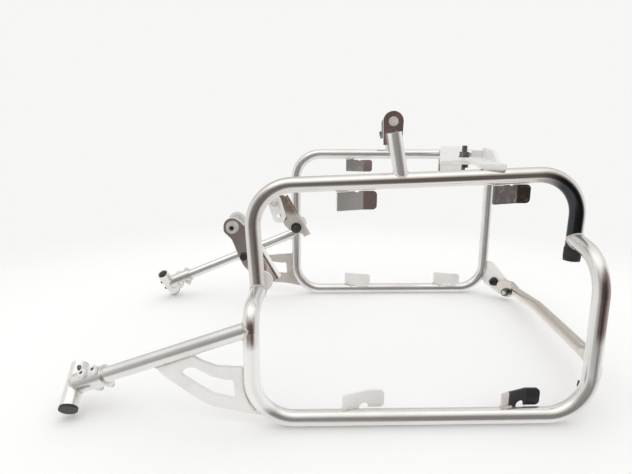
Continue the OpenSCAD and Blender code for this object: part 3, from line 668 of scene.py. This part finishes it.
def saddle(start: Vector, along: Vector, radius: float, main: Vector, main_along: Vector,
           main_radius: float) -> list[Vector]:
    """Trace where a branch tube meets a main tube.

    Args:
        start: A point on the branch's axis.
        along: The branch's direction, away from the main tube.
        radius: The branch's outer radius.
        main: A point on the main tube's axis.
        main_along: The main tube's direction.
        main_radius: The main tube's outer radius.

    Returns:
        The closed curve's points in order.
    """
    d, e = along.normalized(), main_along.normalized()
    curve = []
    for origin in ring(start, *cross_axes(d), radius, 72):
        w = (origin - main) - e * (origin - main).dot(e)
        f = d - e * d.dot(e)
        a, b, c = f.dot(f), 2 * w.dot(f), w.dot(w) - main_radius ** 2
        root = max(b * b - 4 * a * c, 0.0)
        curve.append(origin + d * ((-b + math.sqrt(root)) / (2 * a)))
    return curve


@dataclass
class Layout:
    """Stations of the frame that several sub-assemblies share, in the rack frame."""

    front_x: float = -56.2
    rear_x: float = 316.8
    far_shift: float = 42.5
    near_y: float = -63.0
    far_y: float = 394.5
    tube_r: float = 9.0
    bend_r: float = 47.0
    top_h: float = 273.0
    far_top: float = 275.0
    top_fall: float = 15.0
    lean: float = 3.2
    front_out: float = 4.2
    rear_out: float = 0.6
    leg_foot: float = 128.0

    def near_top(self, x: float) -> Vector:
        """Point on the axis of the near top tube at a station."""
        run = self.rear_x + self.rear_out - self.front_x + self.front_out
        return Vector((x, 0.0, self.top_h - self.top_fall * (self.rear_x + self.rear_out - x) / run))

    def front_leg(self, z: float) -> Vector:
        """Point on the axis of the upper hoop's front leg at a height."""
        rise = (z - self.leg_foot) / (self.top_h - self.top_fall - self.leg_foot)
        return Vector((self.front_x + self.lean - (self.lean + self.front_out) * rise, 0.0, z))

    def rear_leg(self, low: float) -> tuple[Vector, Vector]:
        """Low and high points on the axis of the upper hoop's rear leg."""
        return Vector((self.rear_x - 1.3, 0, low)), Vector((self.rear_x + self.rear_out, 0, self.top_h))

    @property
    def far_front(self) -> float:
        """X of the far loop's front leg."""
        return self.front_x + self.far_shift


LAYOUT = Layout()


class SubAssembly(ABC):
    """A group of nodes with their finishes, and the pieces added to them."""

    title: str = ""

    @abstractmethod
    def tones(self) -> dict[str, Tone]:
        """Name each node and its finish."""

    def beads(self) -> list[Bead]:
        """List the weld beads."""
        return []

    def threads(self) -> list[tuple[Thread, Tone]]:
        """List the cut threads and their finishes."""
        return []

    def turned(self) -> list[tuple[Turned, Tone]]:
        """List the turned pieces and their finishes."""
        return []

    def build(self, wardrobe: Wardrobe) -> int:
        """Dress the nodes and build the added pieces.

        Args:
            wardrobe: The built finishes.

        Returns:
            The number of nodes and pieces dressed.
        """
        tones = self.tones()
        for node, tone in tones.items():
            wardrobe.dress_node(node, tone)
        added = {"bead": [(bead, Tone.WELD) for bead in self.beads()], "thread": self.threads(),
                 "turned piece": self.turned()}
        for kind, makers in added.items():
            for maker, tone in makers:
                wardrobe.dress_piece(maker.build(), tone)
                LOG.info("%s: %s %s", self.title, kind, maker.name)
        return len(tones) + sum(map(len, added.values()))


@dataclass
class SideLoops(SubAssembly):
    """The three bent side tubes, and the plug and sleeve on the upper hoop's open end."""

    title: str = "side loops"
    lower_front: tuple[float, float] = (132.0, 136.5)
    lower_rear: tuple[float, float] = (184.0, 197.0)
    sleeve_low: float = 174.2
    sleeve_high: float = 12.5
    bead_r: float = 1.15

    def tones(self) -> dict[str, Tone]:
        """The hoops mirror the room's dark parts through painted dark and brown reflections in their colour; the far
        loop is dulled and the plug is black.
        """
        return {"near_upper_hoop": Tone.HOOP, "near_lower_hoop": Tone.LOWER, "far_loop": Tone.SATIN,
                "hoop_end_plug": Tone.PLASTIC}

    def beads(self) -> list[Bead]:
        """Welds where the lower hoop's ends meet the upper hoop's legs."""
        lay = LAYOUT
        front_end = Vector((lay.front_x + lay.lean, 0, self.lower_front[1]))
        front = saddle(front_end, Vector((lay.front_x, lay.near_y, self.lower_front[0])) - front_end, lay.tube_r,
                       lay.front_leg(100), lay.front_leg(220) - lay.front_leg(100), lay.tube_r)
        rear_end = Vector((lay.rear_x - 1, 0, self.lower_rear[1]))
        low, top = lay.rear_leg(174)
        rear = saddle(rear_end, Vector((lay.rear_x, lay.near_y, self.lower_rear[0])) - rear_end, lay.tube_r,
                      low, top - low, lay.tube_r)
        return [Bead(f"bead_lower_hoop_{name}", curve, True, self.bead_r)
                for name, curve in (("front", front), ("rear", rear))]

    def turned(self) -> list[tuple[Turned, Tone]]:
        """The soft black sleeve pulled over the upper hoop's open end."""
        low, top = LAYOUT.rear_leg(self.sleeve_low)
        inner, outer, tall = LAYOUT.tube_r + 0.04, LAYOUT.tube_r + 0.75, self.sleeve_high
        profile = [(inner, 0.0), (outer - 0.4, 0.0), (outer, 0.5), (outer, tall - 1.0), (outer - 0.3, tall),
                   (inner, tall)]
        return [(Turned("hoop_end_sleeve", low, top - low, profile), Tone.RUBBER)]


@dataclass
class HookTabs(SubAssembly):
    """Eight bent tabs whose feet are welded to the side tubes."""

    title: str = "hook tabs"
    foot: float = 13.0
    inward: float = 12.0
    bend_at: float = 31.35
    plate: float = 3.0
    front: float = 94.0
    rear: float = 273.0
    bead_out: float = 0.7
    bead_steps: int = 8

    def _seats(self) -> dict[str, tuple[Vector, int, int]]:
        """Each tab's start on its tube's axis, 1 where it stands up, and 1 on the near side or -1 on the far one."""
        lay = LAYOUT
        x, far_x, top, low = lay.front_x, lay.far_front, lay.far_top, lay.tube_r
        return {
            "tab_near_top_front": (lay.near_top(x + self.front), -1, 1),
            "tab_near_top_rear": (lay.near_top(x + self.rear), -1, 1),
            "tab_near_low_front": (Vector((x + self.front + 5, lay.near_y, low)), 1, 1),
            "tab_near_low_rear": (Vector((x + self.rear + 3, lay.near_y, low)), 1, 1),
            "tab_far_top_front": (Vector((far_x + self.front + 2, lay.far_y, top)), -1, -1),
            "tab_far_top_rear": (Vector((far_x + self.rear, lay.far_y, top)), -1, -1),
            "tab_far_low_front": (Vector((far_x + self.front + 3, lay.far_y, low)), 1, -1),
            "tab_far_low_rear": (Vector((far_x + self.rear + 2, lay.far_y, low)), 1, -1),
        }

    def tones(self) -> dict[str, Tone]:
        """Upper tabs mirror the room, the near rear ones are stained or black, the others are satin."""
        tones = {n: Tone.MIRROR if "top" in n else Tone.PLATE for n in self._seats()}
        return tones | {"tab_near_top_rear": Tone.SOOTY, "tab_near_low_rear": Tone.CAPPED}

    def beads(self) -> list[Bead]:
        """A bead along both faces of each foot."""
        made = []
        slope = self.inward / self.bend_at
        away = self.plate / 2 + self.bead_out
        r = LAYOUT.tube_r + 0.3
        for name, (at, up, side) in self._seats().items():
            for mark, offset in (("outer", -away), ("inner", away)):
                path = []
                for step in range(self.bead_steps + 1):
                    s = -1.0 + (self.foot + 1.0) * step / self.bead_steps
                    y = slope * s + offset
                    path.append(at + Vector((s, side * y, up * math.sqrt(r * r - y * y))))
                made.append(Bead(f"bead_{name}_{mark}", path, False, 1.4, 1.7))
        return made


@dataclass
class Uprights(SubAssembly):
    """Two short uprights with eyelet plates on the top tubes."""

    title: str = "uprights"
    lean: float = 10.0
    radius: float = 8.0
    near_x: float = 111.0
    far_x: float = 167.0
    near_h: float = 44.0
    far_h: float = 36.0
    eyelet_bead: tuple[float, float] = (5.2, 7.0)
    eyelet_stations: tuple[float, ...] = (0.62, 0.75, 0.88, 0.99)

    def tones(self) -> dict[str, Tone]:
        """Tubes pale, plates polished, the near screw bright and the far cross bolt black."""
        return {"near_upright": Tone.DUSTY, "far_upright": Tone.DUSTY, "near_eyelet": Tone.MIRROR,
                "far_eyelet": Tone.MIRROR, "near_eyelet_screw": Tone.BRIGHT, "far_upright_bolt": Tone.BLACK}

    def beads(self) -> list[Bead]:
        """Welds at the uprights' feet and beside the eyelet plates."""
        lay = LAYOUT
        made = []
        out, through = self.eyelet_bead
        for name, foot, height, main, side in (
                ("near", lay.near_top(self.near_x), self.near_h, lay.near_top(300) - lay.near_top(0), 1),
                ("far", Vector((self.far_x, lay.far_y, lay.far_top)), self.far_h, Vector((1, 0, 0)), -1)):
            axis = Vector((-self.lean, 0, lay.tube_r + height))
            curve = saddle(foot, axis, self.radius, foot, main, lay.tube_r)
            made.append(Bead(f"bead_{name}_upright_foot", curve, True, 1.1))
            for mark, dx in (("front", -out), ("rear", out)):
                path = [foot + axis * t + Vector((dx, side * through, 0)) for t in self.eyelet_stations]
                made.append(Bead(f"bead_{name}_eyelet_{mark}", path, False, 1.2, 1.6))
        return made


@dataclass
class FrontArms(SubAssembly):
    """Both arms with gussets, clamp sleeves, cross tubes and their bolts."""

    title: str = "front arms"
    near_root: Vector = held(-56.2, -63.0, 114.5)
    far_root: Vector = held(-13.7, 394.5, 124.5)
    near_cross: Vector = held(-268.2, -18.7, 28.0)
    far_cross: Vector = held(-260.8, 373.9, 28.5)
    near_tilt: Vector = held(0.12, -0.84, -0.53)
    far_tilt: Vector = held(0.25, 0.54, -0.8)
    sleeve_r: float = 12.0
    cross_r: float = 10.5
    bolt_stations: tuple[float, float] = (22.0, 38.0)
    bolt_turns: tuple[float, float] = (-6.0, 187.0)
    bolt_d: float = 6.0
    bolt_pitch: float = 1.0
    nut_seat: float = 11.3
    nut_h: float = 5.0
    head_h: float = 4.6
    socket_r: float = 2.4
    gusset_half: float = 2.0
    gusset_tops: tuple[float, float] = (69.0, 81.0)
    arm_stations: tuple[float, ...] = (71, 82, 93, 104, 112)

    def _ends(self, far: bool) -> tuple[Vector, Vector]:
        """The arm's root on its leg and the middle of its cross tube."""
        return (self.far_root, self.far_cross) if far else (self.near_root, self.near_cross)

    def tones(self) -> dict[str, Tone]:
        """Arms pale, sleeves and cross tubes dulled, gussets satin or tan, plugs black."""
        tones = {f"{side}_{part}": Tone.SATIN for side, _ in SIDES for part in ("sleeve", "cross_tube")}
        tones |= {"near_arm": Tone.DUSTY, "far_arm": Tone.DUSTY}
        return tones | {"near_gusset": Tone.PLATE, "far_gusset": Tone.TAN, "near_cross_plug": Tone.PLASTIC,
                        "far_cross_plug": Tone.PLASTIC, "clamp_bolts": Tone.BRIGHT, "clamp_nuts": Tone.BRIGHT,
                        "cross_tube_screws": Tone.DARK}

    def _clamp(self, far: bool) -> tuple[Vector, Vector, Vector, Vector, Vector]:
        """The cross tube's middle, its x, y and z directions, and the clamp bolts' direction."""
        root, centre = self._ends(far)
        z = (root - centre).normalized()
        tilt = self.far_tilt if far else self.near_tilt
        x = (tilt - z * tilt.dot(z)).normalized()
        y = z.cross(x)
        turn = math.radians(self.bolt_turns[int(far)])
        return centre, x, y, z, y * math.cos(turn) - x * math.sin(turn)

    def _sleeve_joint(self, far: bool) -> list[Vector]:
        """Closed curve where the clamp sleeve meets the cross tube."""
        centre, x, y, z, _ = self._clamp(far)
        curve = []
        for k in range(72):
            angle = 2 * math.pi * k / 72
            side = self.sleeve_r * math.sin(angle)
            reach = math.sqrt(max(self.cross_r ** 2 - side ** 2, 9.0))
            curve.append(centre + x * self.sleeve_r * math.cos(angle) + y * side + z * reach)
        return curve

    def _gusset_beads(self, name: str, far: bool) -> list[Bead]:
        """Beads on both faces of a gusset, along the arm and down the leg and its bend."""
        root, centre = self._ends(far)
        flat = Vector((centre.x - root.x, centre.y - root.y, 0))
        out = flat.normalized()
        side = Vector((-out.y, out.x, 0))
        drop = (root.z - centre.z) / flat.length
        r, bend = LAYOUT.tube_r, LAYOUT.bend_r
        corner = bend + r
        top = self.gusset_tops[int(far)]
        lift = math.sqrt(r * r - 7.3) / math.cos(math.atan(drop)) + 0.2
        made = []
        for mark, sign in (("a", 1), ("b", -1)):
            base = Vector((root.x, root.y, 0)) + side * sign * (self.gusset_half + 0.7)
            arm = [base + out * s + Vector((0, 0, root.z - s * drop - lift)) for s in self.arm_stations]
            leg = [base + out * 8.9 + Vector((0, 0, z)) for z in (top, top - 6, 60, corner)]
            for step in range(1, 9):
                angle = math.radians(5.0 * step)
                dx = bend - corner * math.cos(angle)
                leg.append(base + Vector((dx, dx * out.y / out.x, corner - corner * math.sin(angle))))
            for part, path in (("arm", arm), ("leg", leg)):
                made.append(Bead(f"bead_{name}_gusset_{part}_{mark}", path, False, 1.5, 1.8))
        return made

    def beads(self) -> list[Bead]:
        """Welds of arms, sleeves and gussets."""
        made = []
        r, upright = LAYOUT.tube_r, Vector((0, 0, 1))
        for name, far in SIDES:
            root, centre = self._ends(far)
            made.append(Bead(f"bead_{name}_arm_root", saddle(root, centre - root, r, root, upright, r), True, 1.15))
            made.append(Bead(f"bead_{name}_sleeve", self._sleeve_joint(far), True, 1.0))
            made += self._gusset_beads(name, far)
        return made

    def turned(self) -> list[tuple[Turned, Tone]]:
        """Painted shade: dark hexagon discs standing for the shaded sockets in the near clamp bolts' heads."""
        centre, _, _, z, axis = self._clamp(False)
        made = []
        for number, station in enumerate(self.bolt_stations):
            face = centre + z * station - axis * (self.nut_seat + self.head_h)
            socket = Turned(f"socket_clamp_near_{number}", face, -axis, socket_profile(self.socket_r), 6)
            made.append((socket, Tone.BLACK))
        return made

    def threads(self) -> list[tuple[Thread, Tone]]:
        """Thread on each clamp bolt beyond its nut."""
        made = []
        for name, far in SIDES:
            centre, _, _, z, axis = self._clamp(far)
            for number, station in enumerate(self.bolt_stations):
                start = centre + z * station + axis * (self.nut_seat + self.nut_h)
                made.append((Thread(f"thread_clamp_{name}_{number}", start, axis, self.bolt_d, 5.0, self.bolt_pitch),
                             Tone.BRIGHT))
        return made


@dataclass
class FrontBrackets(SubAssembly):
    """Folded bracket plates, link plates and ears at the front legs."""

    title: str = "front brackets"
    leg_x: float = -56.7
    plate_in: float = 60.0
    plate_half: float = 2.0
    link_in: float = 106.0
    link_t: float = 5.0
    nut_h: float = 6.5
    bolt_past: float = 9.0
    washer_t: float = 1.6
    near_bolt: tuple[float, float] = (-32.5, 200.5)
    far_bolt: tuple[float, float] = (-35.0, 199.5)
    socket_r: float = 2.9
    head_h: float = 4.12
    ear_heights: tuple[float, ...] = (136, 141, 146, 151, 154)

    def tones(self) -> dict[str, Tone]:
        """The near bracket is polished, the far one tan with a painted dark reflection on its upper part, the other
        plates satin, the rubber matt.
        """
        tones = {n: Tone.PLATE for n in ("near_link_plate", "far_link_plate", "near_ear", "far_ear")}
        tones |= {f"{side}_{part}_spacer": Tone.TUBE for side, _ in SIDES for part in ("link", "ear")}
        return tones | {"near_bracket_plate": Tone.MIRROR, "far_bracket_plate": Tone.TAN,
                        "link_bolts": Tone.BRIGHT, "ear_bolts": Tone.DARK, "link_washers": Tone.BRIGHT,
                        "link_nuts": Tone.BRIGHT, "rubber_washers": Tone.RUBBER, "plate_screws": Tone.BLACK}

    def beads(self) -> list[Bead]:
        """Beads between each ear and its leg."""
        lay = LAYOUT
        made = []
        for name, far in SIDES:
            side, leg_y = (-1, lay.far_y) if far else (1, 0.0)
            for mark, dx in (("front", -7.6), ("rear", 7.6)):
                path = [Vector(((lay.far_front if far else lay.front_leg(z).x) + dx, leg_y + side * 5.9, z))
                        for z in self.ear_heights]
                made.append(Bead(f"bead_{name}_ear_{mark}", path, False, 1.4, 1.8))
        return made

    def turned(self) -> list[tuple[Turned, Tone]]:
        """Painted shade: a dark disc standing for the shaded floor of the near link bolt's socket."""
        x, z = self.near_bolt
        floor = Vector((self.leg_x + x, self.plate_in - self.plate_half - self.washer_t - self.head_h, z))
        socket = Turned("socket_shade_link_near", floor, Vector((0, 1, 0)), socket_profile(self.socket_r), 24)
        return [(socket, Tone.BLACK)]

    def threads(self) -> list[tuple[Thread, Tone]]:
        """Thread on each link bolt beyond its nut."""
        made = []
        depth = self.link_in + self.link_t / 2 + self.nut_h
        for name, far in SIDES:
            x, z = self.far_bolt if far else self.near_bolt
            shift, y, way = (LAYOUT.far_shift, LAYOUT.far_y - depth, -1) if far else (0.0, depth, 1)
            thread = Thread(f"thread_link_{name}", Vector((self.leg_x + x + shift, y, z)), Vector((0, way, 0)), 8.0,
                            self.bolt_past - self.nut_h)
            made.append((thread, Tone.BRIGHT))
        return made


@dataclass
class RearCorner(SubAssembly):
    """The crossbar with pressed ends, its corner brackets and bolts."""

    title: str = "rear corner"
    stud_s: float = 29.0
    stud_z: float = 28.5
    flange_nut_h: float = 8.0
    stud_threads: tuple[float, float] = (6.0, 3.0)
    bar_s: float = 57.5
    bar_heights: tuple[float, float] = (36.0, 15.0)
    bar_nut_h: float = 6.5
    corner_half: float = 2.0
    press_t: float = 5.0
    leg_side: tuple[tuple[float, float], ...] = ((7.4, 44), (8.3, 48), (8.9, 52), (8.9, 56), (8.9, 60), (8.9, 65))

    def tones(self) -> dict[str, Tone]:
        """The bar is polished, brackets satin, the bar's nuts dark and the studs black."""
        return {"crossbar": Tone.TUBE, "near_corner_bracket": Tone.PLATE, "far_corner_bracket": Tone.PLATE,
                "bar_bolts": Tone.BRIGHT, "bar_nuts": Tone.DARK, "corner_bolts": Tone.BLACK,
                "corner_nuts": Tone.BLACK}

    @staticmethod
    def _local(far: bool, s: float, y: float, z: float) -> Vector:
        """Point at s out along a corner bracket, y through it and z up."""
        lay = LAYOUT
        out = Vector((0.63, 0.777, 0)).normalized()
        p = out * s + Vector((-out.y, out.x, 0)) * y
        if far:
            return Vector((lay.rear_x + lay.far_shift + p.x, lay.far_y - p.y, z))
        return Vector((lay.rear_x + p.x, lay.near_y + p.y, z))

    def beads(self) -> list[Bead]:
        """Beads between the corner brackets and the rear legs."""
        made = []
        for name, far in SIDES:
            for mark, y in (("a", 2.8), ("b", -2.8)):
                path = [self._local(far, s, y, z) for s, z in self.leg_side]
                made.append(Bead(f"bead_{name}_corner_{mark}", path, False, 1.5, 1.8))
        return made

    def threads(self) -> list[tuple[Thread, Tone]]:
        """Thread on the studs and on the crossbar's bolts."""
        made = []
        for name, far in SIDES:
            axis = self._local(far, 0, 1, 0) - self._local(far, 0, 0, 0)
            stud = self._local(far, self.stud_s, self.corner_half + self.flange_nut_h, self.stud_z)
            made.append((Thread(f"thread_stud_{name}", stud, axis, 8.0, self.stud_threads[int(far)]), Tone.BLACK))
            bar = self._local(far, self.bar_s, self.corner_half + self.press_t + self.bar_nut_h,
                              self.bar_heights[int(far)])
            made.append((Thread(f"thread_bar_{name}", bar, axis, 8.0, 2.0), Tone.DARK))
        return made


@dataclass
class RearLink(SubAssembly):
    """Two strips that meet at one bolt between the top tubes."""

    title: str = "rear link"
    joint: tuple[float, float] = (245.0, 200.0)
    bolt_top: float = 297.3
    nut_top: float = 288.1
    near_seat: float = 214.0
    far_seat: float = 279.7
    seat_out: float = 5.5

    def tones(self) -> dict[str, Tone]:
        """Strips satin, the bolt set dark."""
        return {"near_rear_strip": Tone.PLATE, "far_rear_strip": Tone.PLATE, "strip_bolt": Tone.DARK,
                "strip_washer": Tone.DARK, "strip_nut": Tone.DARK}

    def beads(self) -> list[Bead]:
        """A bead across each tube at the strips' seats."""
        lay = LAYOUT
        lift = math.sqrt(lay.tube_r ** 2 - 30.0) + 0.6
        near = [lay.near_top(self.near_seat + dx) + Vector((0, -self.seat_out - dx * 0.24, lift))
                for dx in (-12, -6, 0, 6, 12)]
        far = [Vector((self.far_seat + dx, lay.far_y + self.seat_out - dx * 0.26, lay.far_top + lift))
               for dx in (-15, -7, 0, 7, 15)]
        return [Bead("bead_near_strip_seat", near, False, 1.6), Bead("bead_far_strip_seat", far, False, 1.6)]

    def threads(self) -> list[tuple[Thread, Tone]]:
        """The bolt's long free end above its nut."""
        start = Vector((*self.joint, self.nut_top))
        thread = Thread("thread_strip_bolt", start, Vector((0, 0, 1)), 7.6, self.bolt_top - self.nut_top)
        return [(thread, Tone.DARK)]


@dataclass(frozen=True)
class Patch:
    """A soft-edged part of the mirrored room: a colour, and ramps that each name an axis, a start and an end."""

    colour: Triple
    ramps: tuple[tuple[str, float, float], ...]


@dataclass
class Studio:
    """Pale floor, even soft light, and the camera at the photograph's angle."""

    pale: Triple = (0.925, 0.922, 0.912)
    even: Triple = (1.06, 1.06, 1.06)
    floor_size: float = 9.0
    floor_z: float = -0.0004
    clear_radius: float = 1.1
    floor_tints: tuple[Triple, Triple] = ((0.925, 0.922, 0.914), (0.94, 0.937, 0.93))
    lens: float = 28.26
    sensor: float = 36.0
    eye: Vector = held(0.0, -557.6, 321.1)
    forward: Vector = held(0.02540406, 0.97685898, -0.21237035)
    right: Vector = held(0.99967106, -0.02557242, 0.00195438)
    room_dark: Triple = (0.12, 0.092, 0.083)
    room_left: Triple = (0.17, 0.162, 0.155)
    patches: tuple[Patch, ...] = (
        Patch((1.3, 1.29, 1.26), (("z", 0.72, 0.86), ("y", 0.3, -0.1))),
        Patch((0.6, 0.6, 0.59), (("y", 0.35, 0.7), ("z", 0.0, 0.15))),
        Patch((0.50, 0.46, 0.43), (("z", 0.05, 0.3), ("z", 0.74, 0.54), ("y", -0.1, -0.5))),
        Patch((0.36, 0.355, 0.35), (("z", -0.6, -0.3), ("z", 0.5, 0.25), ("y", -0.2, -0.6))))
    lamp_size: float = 1.6
    lamp_aim: Vector = held(0, 0, 0.1)

    def floor(self) -> bpy.types.Object:
        """Lay a pale floor that fades into the background away from the object.

        Returns:
            The floor.
        """
        half = self.floor_size / 2
        corners = [Vector((x, y, self.floor_z))
                   for x, y in ((-half, -half), (half, -half), (half, half), (-half, half))]
        floor = mesh_piece("studio_floor", corners, [(0, 1, 2, 3)])
        material = bpy.data.materials.new("pale_floor")
        material.use_nodes = True
        sheet = Sheet(material.node_tree)
        shader = next(n for n in material.node_tree.nodes if n.type == "BSDF_PRINCIPLED")
        length = sheet.add("VectorMath", operation="LENGTH")
        sheet.join(sheet.where(), length.inputs[0])
        fade = sheet.ramp(length.outputs["Value"], self.clear_radius * 0.45, self.clear_radius, 1.0, 0.0)
        sheet.join(fade, shader.inputs["Alpha"])
        noise = sheet.add("TexNoise")
        noise.inputs["Scale"].default_value = 3.0
        low, high = self.floor_tints
        tint = sheet.blend(sheet.ramp(noise.outputs[0], 0.3, 0.7), (*low, 1.0), (*high, 1.0))
        sheet.join(tint, shader.inputs["Base Color"])
        shader.inputs["Roughness"].default_value = 0.9
        shader.inputs["Specular IOR Level"].default_value = 0.1
        floor.data.materials.append(material)
        floor.visible_glossy = False
        return floor

    def _room(self, sheet: Sheet) -> bpy.types.NodeSocket:
        """The colour that polished steel mirrors: a pale room with a dark front, darker brown on the right.

        Args:
            sheet: The world's sheet.

        Returns:
            The room's colour.
        """
        split = sheet.add("SeparateXYZ")
        sheet.join(sheet.add("TexCoord").outputs["Generated"], split.inputs[0])
        axes = dict(zip("xyz", split.outputs))
        toned: Any = (*self.pale, 1.0)
        for patch in self.patches:
            mask = sheet.product(*(sheet.ramp(axes[axis], start, end) for axis, start, end in patch.ramps))
            toned = sheet.blend(mask, toned, (*patch.colour, 1.0))
        right = sheet.ramp(axes["x"], -0.2, 0.3)
        low_left = sheet.product(sheet.ramp(axes["z"], -0.5, -0.2), sheet.math("SUBTRACT", 1.0, right))
        low_right = sheet.product(sheet.ramp(axes["z"], -0.75, -0.55), right)
        front = sheet.product(sheet.math("ADD", low_left, low_right), sheet.ramp(axes["z"], 0.5, 0.34),
                              sheet.ramp(axes["y"], -0.55, -0.85))
        return sheet.blend(front, toned, sheet.blend(right, (*self.room_left, 1.0), (*self.room_dark, 1.0)))

    def world(self) -> None:
        """Make a world that is pale to the camera, even to matt surfaces and a room to polished steel."""
        world = bpy.data.worlds.new("pale_room")
        bpy.context.scene.world = world
        world.use_nodes = True
        world.node_tree.nodes.clear()
        sheet = Sheet(world.node_tree)
        shown = []
        for colour in ((*self.even, 1.0), self._room(sheet), (*self.pale, 1.0)):
            node = sheet.add("Background")
            sheet.join(colour, node.inputs["Color"])
            shown.append(node.outputs[0])
        path = sheet.add("LightPath")
        seen = sheet.math("MAXIMUM", path.outputs["Is Camera Ray"], path.outputs["Is Transmission Ray"])
        result = shown[0]
        for factor, over in ((path.outputs["Is Glossy Ray"], shown[1]), (seen, shown[2])):
            mix = sheet.add("MixShader")
            for index, source in enumerate((factor, result, over)):
                sheet.join(source, mix.inputs[index])
            result = mix.outputs[0]
        sheet.join(result, sheet.add("OutputWorld").inputs["Surface"])

    def lamps(self) -> None:
        """Hang two large soft lamps, one high on the left and one behind."""
        for name, spot, energy in (("key_lamp", (-0.9, -0.5, 1.9), 1.6), ("back_lamp", (0.7, 1.5, 1.7), 1.2)):
            lamp = bpy.data.lights.new(name, "AREA")
            lamp.energy = energy
            lamp.size = self.lamp_size
            holder = bpy.data.objects.new(name, lamp)
            holder.location = spot
            holder.rotation_euler = (self.lamp_aim - Vector(spot)).to_track_quat("-Z", "Y").to_euler()
            bpy.context.scene.collection.objects.link(holder)

    def camera(self) -> bpy.types.Object:
        """Set the camera up at the photograph's view.

        Returns:
            The camera object.
        """
        lens = bpy.data.cameras.new("photo_camera")
        lens.lens = self.lens
        lens.sensor_width = self.sensor
        lens.clip_start = 0.01
        holder = bpy.data.objects.new("photo_camera", lens)
        up = self.right.cross(self.forward)
        turn = Matrix((self.right, up, -self.forward)).transposed()
        holder.matrix_world = Matrix.Translation(place(self.eye)) @ turn.to_4x4()
        bpy.context.scene.collection.objects.link(holder)
        bpy.context.scene.camera = holder
        return holder

    def build(self) -> None:
        """Set up the camera, floor, world and lamps."""
        self.camera()
        self.floor()
        self.world()
        self.lamps()
        bpy.context.scene.view_settings.view_transform = "Standard"


def save_sizes() -> None:
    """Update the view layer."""
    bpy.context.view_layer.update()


def main() -> None:
    """Build the studio and every sub-assembly, and report each piece."""
    logging.basicConfig(level=logging.INFO, format="%(name)s %(message)s")
    Studio().build()
    wardrobe = Wardrobe()
    dressed: set[str] = set()
    for group in (SideLoops(), HookTabs(), Uprights(), FrontArms(), FrontBrackets(), RearCorner(), RearLink()):
        count = group.build(wardrobe)
        dressed |= set(group.tones())
        LOG.info("%s: %d nodes and pieces", group.title, count)
    missing = sorted(set(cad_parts) - dressed)
    if missing:
        raise RuntimeError(f"no finish for {missing}")
    save_sizes()


if __name__ == "__main__":
    main()
